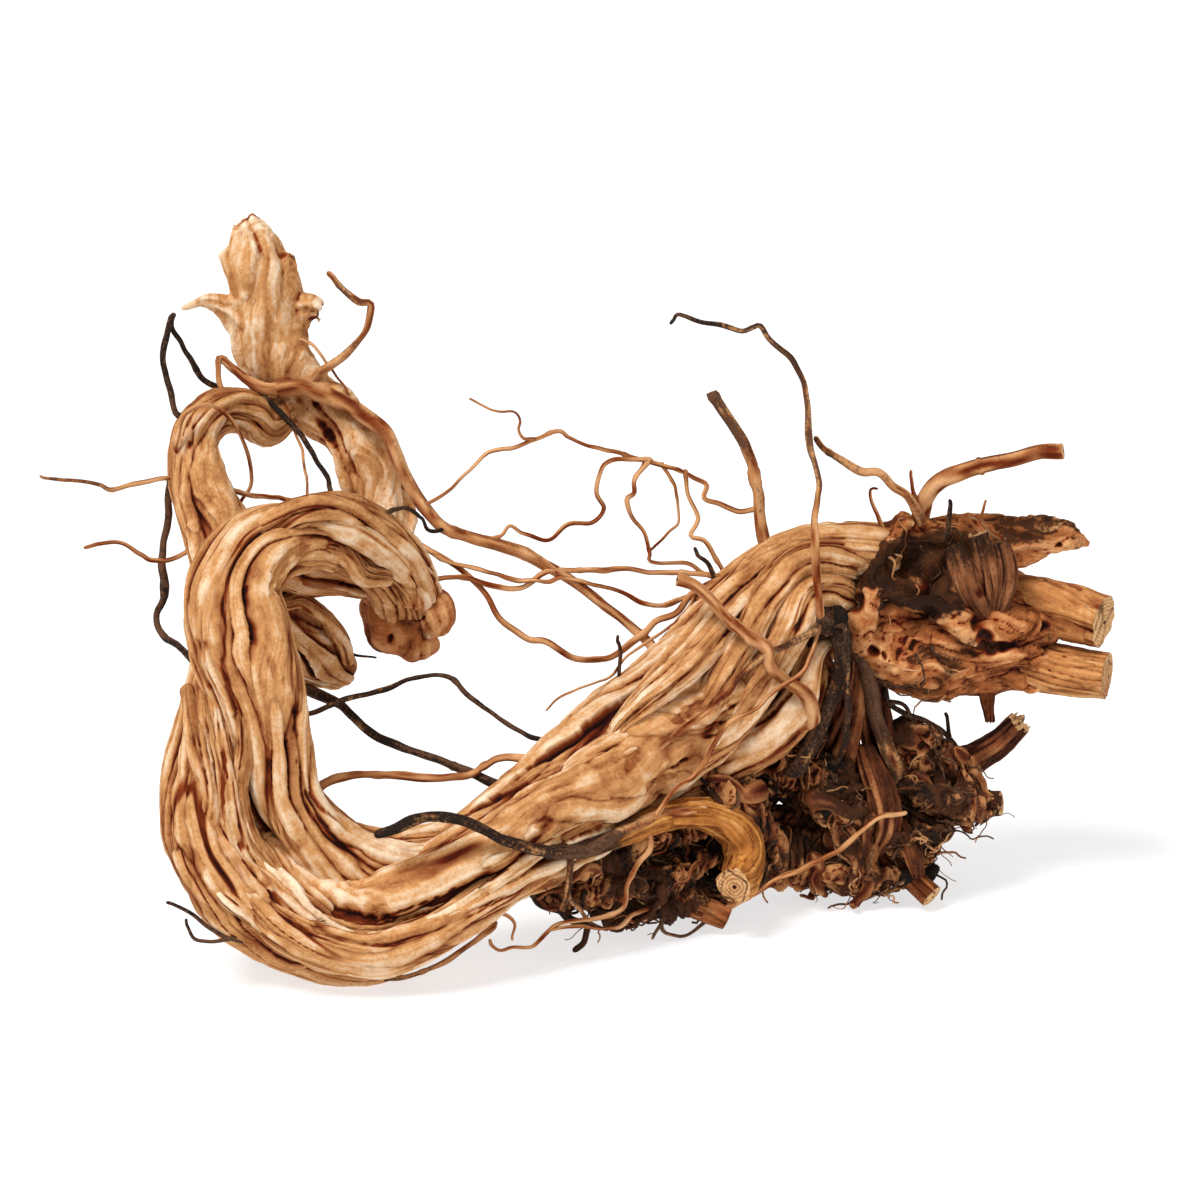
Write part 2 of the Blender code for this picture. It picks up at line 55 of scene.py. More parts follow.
def bumps(p, size, seed):                    # smooth noise from -1 to 1; size is one number or three
    q = np.asarray(p, float) / np.asarray(size, float)
    i = np.floor(q).astype(np.int64)
    f = q - i
    f = f * f * (3 - 2 * f)
    x, y, z = i[..., 0], i[..., 1], i[..., 2]
    total = 0
    for corner in range(8):
        steps = corner & 1, corner >> 1 & 1, corner >> 2
        weight = 1
        for axis, on in enumerate(steps):
            weight = weight * (f[..., axis] if on else 1 - f[..., axis])
        total = total + weight * lattice(x + steps[0], y + steps[1], z + steps[2], seed)
    return 2 * total - 1


def rough(p, size, seed, octaves=3, fade=0.5):    # bumps with ever smaller bumps on them
    total, gain, norm = 0, 1.0, 0.0
    for k in range(octaves):
        total = total + gain * bumps(p, np.asarray(size, float) * 0.5**k, seed + 17 * k)
        norm += gain
        gain *= fade
    return total / norm


def cells(p, size, seed):                    # how far the two nearest centres are, and the first's number
    q = np.asarray(p, float) / np.asarray(size, float)
    i = np.floor(q).astype(np.int64)
    near = np.full(q.shape[:-1], 9.0)        # farther than any centre can be
    second = near.copy()
    which = np.zeros(q.shape[:-1])
    for k in range(27):
        c = i + (k % 3 - 1, k // 3 % 3 - 1, k // 9 - 1)
        x, y, z = c[..., 0], c[..., 1], c[..., 2]
        jitter = np.stack([lattice(x, y, z, seed + j) for j in (1, 2, 3)], axis=-1)
        d = np.linalg.norm(c + 0.1 + 0.8 * jitter - q, axis=-1)
        closer = d < near
        second = np.where(closer, near, np.minimum(second, d))
        which = np.where(closer, lattice(x, y, z, seed + 9), which)
        near = np.where(closer, d, near)
    return near, second, which


def soft(x, low, high):                      # 0 below low, 1 above high, and smooth between
    t = np.clip((x - low) / (high - low), 0, 1)
    return t * t * (3 - 2 * t)


# Routes: control points made smooth and evenly spaced.

routeSteps = 24                              # fine steps from one control point to the next


def route(points, spacing):                  # millimetres; a radius after x, y, z goes along
    p = np.array(points, float)
    p = np.vstack([2 * p[0] - p[1], p, 2 * p[-1] - p[-2]])
    p[0, 3:], p[-1, 3:] = p[1, 3:], p[-2, 3:]
    t = np.linspace(0, 1, routeSteps, endpoint=False)[:, None]
    fine = []
    for a, b, c, d in zip(p, p[1:], p[2:], p[3:]):
        square, cube = 2 * a - 5 * b + 4 * c - d, 3 * b - a - 3 * c + d
        fine.append(0.5 * (2 * b + (c - a) * t + square * t**2 + cube * t**3))
    fine = np.vstack([*fine, p[-2][None]])
    along = np.concatenate([[0], np.cumsum(np.linalg.norm(np.diff(fine[:, :3], axis=0), axis=1))])
    count = max(4, round(along[-1] / spacing) + 1)
    places = np.linspace(0, along[-1], count)
    return places, np.stack([np.interp(places, along, column) for column in fine.T], axis=1)


def crossFrames(line):                       # two directions across the line, turning as little as they can
    forward = np.gradient(line, axis=0)
    forward /= np.linalg.norm(forward, axis=1)[:, None]
    side = np.cross(forward[0], (0.3, 1.0, 0.2))
    sides = []
    for f in forward:
        side = side - f * side.dot(f)
        side = side / np.linalg.norm(side)
        sides.append(side)
    sides = np.array(sides)
    return sides, np.cross(forward, sides), forward


def onCylinder(radius, angle, s):            # where a place on a bent root would be if the root were straight
    return np.stack([radius * np.cos(angle), radius * np.sin(angle), s], axis=-1)


# A rolled sheet: a grid primitive whose rows go round a route, cut where one length ends and the next begins.

# cavity is shade painted into creases, grooves, cracks, holes and dents
sheetValues = ("cavity", "tone", "dirt", "sawn")


def rolledSheet(name, lengths):
    places = np.concatenate([length["places"] for length in lengths])
    rows, columns = places.shape[:2]
    bpy.ops.mesh.primitive_grid_add(x_subdivisions=columns - 1, y_subdivisions=rows - 1, size=1)
    piece = bpy.context.object
    piece.name = name
    mesh = piece.data
    mesh.vertices.foreach_set("co", ((places - baseCentre) / 1000).ravel())
    for attribute in sheetValues:
        values = np.concatenate([length[attribute] for length in lengths])
        mesh.attributes.new(attribute, "FLOAT", "POINT").data.foreach_set("value", values.ravel())
    grain = np.concatenate([length["grain"] for length in lengths])
    mesh.attributes.new("grain", "FLOAT_VECTOR", "POINT").data.foreach_set("vector", grain.ravel())
    ends = np.cumsum([len(length["places"]) for length in lengths])[:-1]
    bpy.ops.object.mode_set(mode="EDIT")
    bpy.ops.mesh.select_all(action="DESELECT")
    bpy.ops.mesh.select_mode(type="FACE")
    bpy.ops.object.mode_set(mode="OBJECT")
    chosen = np.zeros((rows - 1, columns - 1), bool)     # the faces that bridge two lengths
    chosen[ends - 1] = True
    mesh.polygons.foreach_set("select", chosen.ravel())
    bpy.ops.object.mode_set(mode="EDIT")
    if len(ends):
        bpy.ops.mesh.delete(type="ONLY_FACE")
    bpy.ops.mesh.select_all(action="SELECT")
    bpy.ops.mesh.remove_doubles(threshold=1e-7)
    bpy.ops.mesh.normals_make_consistent(inside=False)
    bpy.ops.object.mode_set(mode="OBJECT")
    bpy.ops.object.shade_smooth()
    piece.select_set(False)
    return piece


def sheetAt(centre, side, up, radius, angle):     # places round each row's centre
    across = np.cos(angle)[..., None] * side[:, None] + np.sin(angle)[..., None] * up[:, None]
    return centre[:, None] + radius[..., None] * across


# Ends: rows that close a sheet.

endRows = {"round": 5, "point": 3, "sawn": 14, "torn": 10}
endBulge = {"round": 0.9, "point": 1.4, "sawn": 0.08, "torn": -0.1}     # as a share of the rim's radius
endSawn = {"sawn": 1, "torn": 0.6}           # how much of the rings a cut face shows
rimShare = 0.97                              # a cut face is even outside this share of its radius


def cutFace(rows, style, middle, out, reach, shrink):    # rings, splits and, on a torn end, jags
    across = np.cross(out, (0.31, 0.17, 0.93))
    across /= np.linalg.norm(across)
    flat = rows["places"] - middle
    x, y = flat @ across, flat @ np.cross(out, across)
    face = np.stack([x, y, 0 * x], axis=-1)
    inner = shrink[:, None] < rimShare
    splits = np.abs(bumps(face, (reach * 0.5, reach * 1.2, 1), int(reach * 7)))
    split = 1 - soft(splits, 0.02, 0.13)
    if style == "torn":
        jag = bumps(face, reach * 0.35, 5) * 0.45 * reach
        rows["places"] = rows["places"] + out * (jag * shrink[:, None] ** 0.3)[..., None] * inner[..., None]
    rows["places"] = rows["places"] - out * (1.2 * split * inner)[..., None]
    rows["grain"] = np.stack([x, y, 0 * x + reach], axis=-1) / 1000
    rows["sawn"] = np.ones_like(rows["sawn"]) * endSawn[style]
    # painted shade in the splits, and a little over all of a torn face
    rows["cavity"] = np.clip(split * 0.9 + (0.25 if style == "torn" else 0), 0, 1)
    rows["tone"] = 0.6 + 0.3 * bumps(face, reach * 0.4, 3)


def closeEnds(sheet, forward, start, end):
    for where, style in ((0, start), (-1, end)):
        rim = sheet["places"][where]
        middle = rim[:-1].mean(axis=0)
        out = forward[where] * (-1 if where == 0 else 1)
        arm = rim - middle
        reach = np.linalg.norm(arm[:-1], axis=1).mean()
        t = np.linspace(0, 1, endRows[style] + 1)[1:]
        if style in endSawn:
            t = np.concatenate([[0.02], t])
            shrink = 1 - t
        else:
            shrink = np.cos(t * turn / 4)
        lift = endBulge[style] * reach * np.sin(t * turn / 4)
        added = {"places": middle + arm[None] * shrink[:, None, None] + out * lift[:, None, None]}
        for key in (*sheetValues, "grain"):
            added[key] = np.repeat(sheet[key][where][None], len(t), axis=0)
        if style in endSawn:
            cutFace(added, style, middle, out, reach, shrink)
        for key, value in added.items():
            parts = [value[::-1], sheet[key]] if where == 0 else [sheet[key], value]
            sheet[key] = np.concatenate(parts)
    return sheet


def spread(field, rows, columns):            # the mean over a window; columns go all the way round
    field = field[:, :-1]
    for axis, reach, mode in ((0, rows, "edge"), (1, columns, "wrap")):
        pad = [(0, 0), (0, 0)]
        pad[axis] = (reach + 1, reach)
        total = np.cumsum(np.pad(field, pad, mode=mode), axis=axis)
        window = 2 * reach + 1
        if axis == 0:
            field = (total[window:] - total[:-window]) / window
        else:
            field = (total[:, window:] - total[:, :-window]) / window
    return np.concatenate([field, field[:, :1]], axis=1)


# Stems: bundles of strands that wind round them, part, and merge.

stemLook = {
    "spacing": 1.7,                  # from ring to ring
    "faceWidth": 0.9,                # round a ring
    "strandsPerRound": 1.75,         # how often the strands would go round, laid side by side
    "strandWidth": (4.2, 20.0),      # half widths, on a stem of the usual radius
    "strandHeight": 0.66,            # a strand's height, as a share of its half width
    "strandLength": (60, 300),
    "depth": 7.0,                    # how far the wood between strands lies below them
    "turnLength": 800,               # the length in which strands wind round once
    "wander": 0.36,                  # how far they stray sideways
    "lobes": 0.13,                   # how far the stem is from round
    "cracks": 1.0,
    "stringy": 0.55,                 # how many strands are frayed into strings
    "sides": 0,                      # 0 is round
}
usualRadius = 26                     # the sizes above suit a stem of this radius, and shrink on thinner ones


def layStrands(bare, look, seed, along, wound, wobbly, meanRadius):    # each shows where it lies highest
    height, under, whose, aside = bare
    scale = meanRadius / usualRadius
    draw = np.random.default_rng(seed)
    low, high = look["strandWidth"]
    cover = look["strandsPerRound"] * turn * meanRadius * along[-1]
    made, k = 0.0, 0
    while made < cover:
        k += 1
        length = draw.uniform(*look["strandLength"])
        begin = draw.uniform(-0.4 * length, max(0, along[-1] - 0.4 * length))
        phase = draw.uniform(0, turn)
        half = (low + (high - low) * draw.random() ** 1.8) * scale
        made += 1.5 * half * length
        lift = (draw.uniform(-3.2, 2.2) + 0.14 * half / scale) * scale
        t = (along - begin) / length
        inside = (t > 0) & (t < 1)
        if not inside.any():
            continue
        taper = np.sqrt(np.clip(np.minimum(t, 1 - t) * length / 40, 0, 1))
        slow = np.stack([along / 90, np.full_like(along, 7.3 * k), np.full_like(along, seed)], axis=1)
        path = phase + 0.24 * bumps(slow, 1, 3) * usualRadius / meanRadius
        path = path + 0.11 * bumps(slow * (2.7, 1, 1), 1, 4)
        path = path + 0.05 * bumps(slow * (6.5, 1, 1), 1, 5)
        width = half * (0.35 + 0.65 * taper) * (1 + 0.3 * bumps(slow * (2.1, 1, 1), 1, 6))
        top = lift + 1.3 * scale * bumps(slow * (1.5, 1, 1), 1, 8)
        top = top - (1 - taper) * look["depth"] * scale * 1.2
        rows = np.where(inside)[0]
        off = ((wound[rows] - path[rows, None] + turn / 2) % turn - turn / 2) * meanRadius
        share = off / width[rows, None] + 0.24 * wobbly[rows]
        arch = np.sqrt(np.clip(1 - np.abs(share) ** 2.6, 0, 1)) - 1
        strand = top[rows, None] + look["strandHeight"] * width[rows, None] * arch
        strand = np.where(np.abs(share) < 1, strand, -99)
        old = height[rows]
        higher = strand > old
        under[rows] = np.where(higher, old, np.maximum(under[rows], strand))
        height[rows] = np.where(higher, strand, old)
        whose[rows] = np.where(higher, k, whose[rows])
        aside[rows] = np.where(higher, off, aside[rows])


def stem(points, seed, ends=("round", "round"), look={}, dirty=0.0):
    look = {**stemLook, **look}
    along, line = route(points, look["spacing"])
    centre, radius = line[:, :3], line[:, 3]
    side, up, forward = crossFrames(centre)
    columns = max(24, round(turn * radius.max() / look["faceWidth"]))
    angle = np.linspace(0, turn, columns + 1)[None] + np.zeros((len(along), 1))
    s = along[:, None] + np.zeros_like(angle)
    meanRadius = float(radius.mean())
    scale = meanRadius / usualRadius
    local = onCylinder(meanRadius, angle, s)
    shared = bumps(local, (34 * scale + 4, 34 * scale + 4, 80), seed + 1)
    shared = shared + 0.55 * bumps(local, (15, 15, 36), seed + 2) + 0.16 * bumps(local, (7, 7, 15), seed + 8)
    wound = angle - turn * s / look["turnLength"] + look["wander"] * shared

    # The wood between the strands, then the strands.
    straight = onCylinder(meanRadius, wound, s)
    near, second, which = cells(straight, (7 * scale + 1, 7 * scale + 1, 80), seed + 3)
    rise = np.sqrt(np.clip((second - near) * 1.7, 0, 1))
    best = (-look["depth"] + 3.4 * rise) * scale
    runnerUp = best - 1.5 + 3 * (rise - 1) * scale
    whose = -np.floor(which * 60) - 1
    aside = meanRadius * wound
    wobbly = rough(local, (6, 6, 13), seed + 24, 2)
    layStrands((best, runnerUp, whose, aside), look, seed, along, wound, wobbly, meanRadius)
    crease = np.exp(-(best - runnerUp) / (0.8 * scale + 0.1))
    own = lattice(whose.astype(np.int64), 3 + np.zeros_like(whose, np.int64), 5, seed)

    # What is on each strand: strings, ridges, cracks, holes, lumps and chips.
    fibre = np.stack([aside, s, whose * 37.0], axis=-1)
    string, nextString, _ = cells(fibre + 1.5 * shared[..., None], (3.6, 46, 1), seed + 10)
    strings = np.sqrt(np.clip((nextString - string) * 2.2, 0, 1)) - 1
    stringy = look["stringy"] * soft(own + 0.5 * bumps(local, (25, 25, 60), seed + 9), 0.35, 0.95)
    ridges = bumps(fibre, (2.1, 48, 1), seed + 11) * 0.32 + bumps(fibre, (1.5, 26, 1), seed + 12) * 0.2
    slits = np.abs(bumps(fibre, (4.6, 60, 1), seed + 13))
    cracked = soft(bumps(local, (20, 20, 60), seed + 14), 0.0, 0.4)
    cut = (1 - soft(slits, 0.03, 0.17)) * cracked * look["cracks"]
    hole, _, holeSize = cells(fibre, (9, 17, 1), seed + 15)
    holes = (1 - soft(hole, 0.07, 0.17)) * (holeSize > 0.8)
    lump = bumps(local, (15, 15, 24), seed + 16)
    worn = rough(local, (5.0, 5.0, 10), seed + 17, 3, 0.6)
    chips = bumps(local, (8, 8, 20), seed + 25) + 0.4 * bumps(fibre, (2.5, 9, 1), seed + 26)
    chipped = soft(chips, 0.5, 0.62)
    height = best + (ridges + 1.7 * stringy * strings) * scale**0.5 - 2.4 * cut * scale - 1.8 * holes
    height = height + 1.4 * lump * scale
    height = height + 0.95 * worn - 1.1 * chipped * scale

    # How deep each place lies in a groove, which sets the painted shade there, and how light its wood is.
    stepRows, stepColumns = look["spacing"], turn * meanRadius / columns
    small = spread(height, max(1, round(2.4 / stepRows)), max(1, round(1.8 / stepColumns)))
    large = spread(height, max(1, round(9 / stepRows)), max(2, round(7 / stepColumns)))
    # painted shade: darkest deep in grooves, between strands, in cracks and in holes
    hollow = soft(small - height, 0.15, 1.3) * 0.42 + soft(large - height, 0.3, 3.6) * 0.8
    cavity = hollow + 0.22 * crease * soft(large - height, -1.5, 0.8) + 0.45 * cut + 0.7 * holes
    proud = soft(height - large, -1.0, 2.6)
    tone = 0.12 + 0.24 * (own - 0.5) + 0.6 * proud + 0.22 * ridges + 0.2 * worn - 0.12 * chipped
    dirt = np.interp(s, (0, along[-1]), dirty) if np.ndim(dirty) else dirty + 0 * s

    # The outline: lobes, or flat sides, or a ragged end.
    lobes = bumps(local, (26 * scale + 2, 26 * scale + 2, 62), seed + 18) + 0.5 * np.cos(2 * wound + seed)
    lobes = 1 + look["lobes"] * lobes
    if look["sides"]:
        facet = turn / look["sides"]
        lobes = lobes * (0.3 + 0.75 * np.cos(facet / 2) / np.cos((angle + seed) % facet - facet / 2))
    full = radius[:, None] * lobes + height + 0.6 * scale
    places = sheetAt(centre, side, up, np.maximum(full, 0.3 * radius[:, None]), angle)
    if ends[1] == "torn":
        edge = np.stack([aside, 0 * s, 0 * s], axis=-1)
        ragged = bumps(edge, 3.2, seed + 21) + 0.5 * bumps(edge, 1.6, seed + 22)
        atEnd = soft(s, along[-1] - 1.2 * radius[-1], along[-1])
        places = places + forward[:, None] * (0.45 * radius[-1] * ragged * atEnd)[..., None]
    grain = np.stack([aside, s, whose * 3.0], axis=-1) / 1000
    sheet = {"places": places, "cavity": np.clip(cavity, 0, 1), "tone": np.clip(tone, 0, 1), "dirt": dirt,
             "sawn": np.zeros_like(s), "grain": grain}
    return closeEnds(sheet, forward, *ends)


stems = {                            # x, y, z and radius
    "inner_stem": [
        (-10, 29, 73, 17), (-41, 2, 64, 18), (-71, -16, 56, 19), (-101, -24, 56, 20),
        (-128, -30, 70, 20), (-147, -34, 97, 20), (-153, -34, 126, 20), (-159, -32, 152, 22.5),
        (-167, -26, 176, 24), (-172, -18, 198, 22), (-163, -6, 215, 20), (-144, 8, 220, 17.5),
        (-123, 24, 214, 16.5), (-102, 42, 198, 15), (-90, 58, 176, 15.5), (-87, 70, 154, 15),
    ],
    "outer_stem": [                 # its first twelve points are the trunk's
        (160, 108, 167, 24), (123, 96, 170, 25.5), (93, 86, 155, 27), (67, 75, 127, 30),
        (41, 54, 104, 31), (11, 26, 88, 31), (-18, -3, 73, 29), (-45, -26, 57, 27), (-75, -38, 40, 25),
        (-108, -40, 27, 26), (-140, -40, 34, 26), (-168, -40, 54, 25), (-186, -38, 80, 21),
        (-191, -32, 107, 16), (-187, -22, 135, 14), (-181, -5, 159, 14), (-178, 20, 182, 16),
        (-182, 45, 201, 18), (-191, 65, 219, 16), (-197, 80, 240, 14), (-194, 92, 253, 13.5),
        (-184, 105, 258, 12.5), (-172, 116, 254, 13), (-164, 122, 246, 13), (-155, 130, 250, 12),
    ],
    "back_stem": [
        (-92, 84, 163, 15), (-97, 98, 185, 13), (-101, 112, 205, 14), (-110, 122, 224, 15.5),
        (-124, 130, 241, 15), (-144, 136, 255, 16), (-158, 140, 273, 18.5), (-162, 142, 293, 18.5),
        (-161, 143, 313, 17), (-167, 144, 332, 14.5), (-174, 145, 347, 6),
    ],
    "band": [
        (-86, 66, 168, 12), (-98, 62, 179, 10.5), (-120, 58, 183, 11.5), (-145, 50, 189, 13),
        (-164, 40, 200, 12),
    ],
    "ear": [
        (-163, 44, 183, 14), (-162, 50, 173, 15), (-152, 60, 153, 18), (-138, 70, 138, 18),
        (-125, 76, 129, 13),
    ],
    "head": [(-95, 66, 173, 15), (-91, 72, 153, 16), (-86, 72, 140, 9.5)],
    "knob": [(-83, 66, 168, 12), (-76, 64, 163, 9.5)],
}

backLook = {
    "turnLength": 300,
    "strandWidth": (5, 17),
    "cracks": 0.4,
    "stringy": 0.5,
    "spacing": 1.4,
    "faceWidth": 0.8,
}
coilLook = {"strandLength": (40, 110), "cracks": 0.6}
hookEndLook = {"strandLength": (30, 80), "strandWidth": (6, 18), "lobes": 0.3}
seeds = {
    "trunk": 11,
    "outer_stem": 12,
    "inner_stem": 23,
    "back_stem": 37,
    "band": 51,
    "ear": 52,
    "hook_end": 53,
}

backStem = stem(stems["back_stem"], seeds["back_stem"], ("round", "torn"), backLook)
stemPieces = {
    "trunk": rolledSheet("trunk", [stem(stems["outer_stem"][:12], seeds["trunk"])]),
    "outer_stem": rolledSheet("outer_stem", [stem(stems["outer_stem"][10:], seeds["outer_stem"])]),
    "inner_stem": rolledSheet("inner_stem", [stem(stems["inner_stem"], seeds["inner_stem"])]),
}
for name in ("band", "ear"):
    stemPieces[name] = rolledSheet(name, [stem(stems[name], seeds[name], look=coilLook)])
headSheets = [stem(stems[name], seeds["hook_end"], look=hookEndLook) for name in ("head", "knob")]
print("stems carved", [len(p.data.polygons) for p in stemPieces.values()])


# Ropes: the big strands that leave the trunk, and the roots that knit into the crown.

ropes = {
    "bend_band": ("pale", [
        (-184, -40, 72, 7), (-172, -51, 55, 11), (-154, -56, 40, 14), (-132, -57, 30, 15.5),
        (-104, -57, 25, 15.5), (-74, -55, 34, 14.5), (-44, -42, 50, 12), (-16, -12, 65, 7),
    ]),
    "arch_rope": ("pale", [
        (166, 126, 172, 5), (154, 90, 188, 11), (125, 80, 191, 11.5), (101, 70, 187, 11),
        (82, 59, 173, 11), (66, 48, 156, 11), (51, 37, 141, 10), (35, 25, 128, 8), (21, 16, 116, 5),
    ]),
    "inner_rope": ("pale", [
        (159, 108, 166, 6), (137, 80, 187, 10), (112, 66, 190, 10), (95, 56, 176, 10),
        (82, 47, 153, 10), (69, 40, 129, 10), (56, 34, 112, 9), (38, 24, 104, 6),
    ]),
    "lower_rope": ("pale", [
        (150, 106, 150, 6), (130, 74, 172, 10), (113, 60, 174, 10), (105, 52, 157, 11),
        (93, 46, 132, 11), (79, 43, 111, 11), (61, 36, 97, 10), (42, 29, 87, 7),
    ]),
    "hem_rope": ("pale", [
        (132, 78, 143, 8), (118, 62, 140, 10), (112, 56, 118, 12), (97, 52, 100, 12), (75, 50, 87, 11),
        (53, 42, 74, 9), (30, 29, 67, 6),
    ]),
    "knuckle": ("pale", [(-10, -3, 84, 12), (9, 4, 96, 14), (24, 14, 102, 13), (35, 27, 100, 8)]),
    "knuckle_low": ("pale", [(-30, -22, 66, 12), (-8, -13, 76, 13), (15, 3, 82, 13), (33, 21, 89, 9)]),
    "hem_low": ("pale", [(-38, -28, 50, 10), (-18, -19, 56, 11), (5, -3, 63, 10), (28, 17, 73, 7)]),
    "groove_one": ("pale", [
        (-186, -26, 161, 5), (-181, -40, 138, 6), (-176, -48, 116, 6), (-173, -52, 94, 6.5),
        (-166, -52, 73, 6), (-152, -50, 56, 5),
    ]),
    "groove_two": ("pale", [
        (-178, -24, 170, 4), (-169, -40, 149, 5), (-167, -46, 127, 4.5), (-169, -50, 105, 4.5),
        (-164, -52, 82, 4.5), (-151, -52, 63, 4),
    ]),
    "groove_three": ("pale", [
        (-195, -28, 150, 5), (-190, -40, 127, 6), (-183, -46, 104, 6), (-183, -50, 84, 6),
        (-187, -50, 64, 5),
    ]),
    "hook_rib": ("pale", [
        (-140, 6, 231, 7), (-129, 14, 215, 6), (-118, 16, 207, 6.5), (-110, 20, 196, 6),
        (-98, 28, 192, 4),
    ]),
    "hook_brow": ("pale", [
        (-158, -6, 224, 9), (-139, 2, 234, 10), (-118, 18, 229, 9), (-100, 34, 214, 9),
        (-87, 48, 194, 9), (-80, 60, 174, 8),
    ]),
    "ear_rim": ("pale", [
        (-150, 40, 175, 4), (-142, 48, 174, 4.5), (-131, 54, 164, 4.5), (-122, 60, 149, 5),
        (-120, 64, 139, 4),
    ]),
    "crown_cuff": ("wood", [
        (164, 96, 199, 7), (159, 84, 192, 9), (153, 76, 180, 9.5), (147, 72, 167, 9),
        (145, 74, 151, 9), (151, 82, 136, 8),
    ]),
    "crown_bridge": ("wood", [
        (147, 82, 177, 7), (163, 74, 171, 8), (181, 74, 166, 9), (197, 76, 154, 9), (216, 82, 142, 9),
    ]),
    "crown_top": ("wood", [
        (132, 94, 188, 12), (158, 96, 192, 10), (181, 104, 193, 9), (206, 110, 191, 10.5),
        (225, 106, 187, 13), (239, 102, 191, 9.5), (251, 100, 192, 5.5), (262, 99, 189, 1),
    ]),
    "crown_mid": ("wood", [
        (136, 88, 152, 16), (162, 92, 142, 22), (188, 98, 135, 24), (214, 102, 127, 21),
        (235, 98, 122, 16),
    ]),
    "crown_right": ("wood", [(192, 120, 152, 22), (217, 114, 153, 21), (237, 106, 152, 15)]),
    "crown_hem": ("wood", [
        (148, 90, 131, 8), (175, 96, 121, 9.5), (200, 100, 114, 9.5), (213, 98, 110, 6.5),
    ]),
    "core_left": ("core", [
        (191, 86, 191, 4.5), (195, 80, 182, 6), (199, 77, 170, 6.3), (205, 80, 159, 4.5),
        (211, 87, 149, 2),
    ]),
    "core_middle": ("core", [
        (203, 84, 198, 5), (207, 82, 185, 5.6), (210, 80, 172, 5.2), (212, 83, 160, 3.5),
        (213, 87, 152, 1.5),
    ]),
    "core_right": ("core", [
        (215, 87, 192, 4.5), (218, 80, 183, 5), (218, 79, 171, 4.6), (216, 82, 159, 3.4),
        (214, 87, 152, 2),
    ]),
    "back_spike": ("back", [
        (-162, 141, 294, 16), (-174, 139, 300, 12.5), (-183, 137, 305, 7.5), (-193, 135, 308, 4.2),
        (-204, 132, 305, 1.2),
    ]),
    "back_bump": ("back", [
        (-153, 143, 295, 13), (-145, 143, 299, 11), (-139, 142, 302, 8.5), (-134, 141, 301, 5.5),
    ]),
    "crest_one": ("back", [
        (-166, 140, 313, 11), (-164, 141, 327, 11), (-163, 142, 339, 8), (-162, 142, 344, 5),
    ]),
    "crest_two": ("back", [
        (-160, 140, 307, 11), (-155, 141, 320, 9), (-151, 142, 329, 7), (-149, 142, 334, 4),
    ]),
    "crest_left": ("back", [
        (-167, 138, 308, 10), (-174, 139, 320, 8), (-180, 140, 327, 6), (-183, 141, 332, 3.5),
    ]),
    "amber": ("amber", [
        (-16, -37, 68, 3.4), (0, -23, 64, 4), (20, -6, 66, 5.2), (39, 10, 70, 7), (62, 25, 68, 9),
        (80, 35, 56, 11.5), (85, 36, 42, 12), (83, 27, 33, 11), (79, 13, 32, 10),
    ]),
    "under_one": ("dark", [
        (79, 55, 70, 10), (56, 38, 58, 11), (30, 17, 53, 10), (5, -3, 50, 8), (-18, -17, 46, 6),
    ]),
    "under_two": ("dark", [
        (72, 50, 46, 10), (51, 33, 36, 10), (25, 11, 33, 9), (2, -5, 33, 7), (-14, -14, 38, 5),
    ]),
    "under_three": ("dark", [
        (87, 60, 30, 9), (67, 43, 23, 10), (46, 28, 20, 9), (24, 14, 18, 7), (10, 7, 23, 5),
    ]),
    "under_four": ("dark", [
        (61, 48, 88, 9), (75, 44, 77, 10), (86, 46, 61, 9), (92, 52, 38, 9), (99, 60, 19, 7),
    ]),
    "pillar_one": ("dark", [
        (115, 76, 162, 8), (120, 68, 138, 8), (116, 64, 113, 9), (106, 64, 86, 10), (98, 66, 61, 9),
    ]),
    "pillar_two": ("wood", [
        (133, 84, 154, 7), (137, 80, 129, 7), (137, 78, 103, 7.5), (133, 78, 76, 8),
    ]),
    "pillar_three": ("wood", [
        (146, 94, 134, 9), (150, 94, 106, 8.5), (156, 92, 82, 9), (166, 94, 57, 10),
    ]),
    "belly_one": ("dark", [(113, 70, 89, 10), (126, 64, 69, 11), (137, 66, 47, 11), (143, 74, 22, 9)]),
    "belly_two": ("wood", [(147, 76, 83, 6), (154, 64, 67, 7.5), (157, 62, 48, 7), (152, 68, 33, 5)]),
    "belly_three": ("dark", [(133, 72, 75, 6), (145, 64, 55, 7), (165, 66, 38, 7), (185, 76, 40, 6)]),
    "rump_one": ("dark", [(168, 94, 87, 9), (181, 92, 78, 11), (194, 94, 63, 11), (205, 96, 52, 9)]),
    "rump_two": ("dark", [(163, 80, 61, 8), (181, 78, 57, 9), (198, 86, 51, 9), (210, 92, 49, 8)]),
    "keel_one": ("dark", [
        (103, 76, 21, 6), (124, 70, 18, 8), (149, 70, 16, 8), (170, 76, 18, 7), (179, 82, 22, 6),
    ]),
    "nub": ("wood", [(164, 74, 44, 6), (171, 66, 33, 6), (174, 66, 21, 4)]),
}

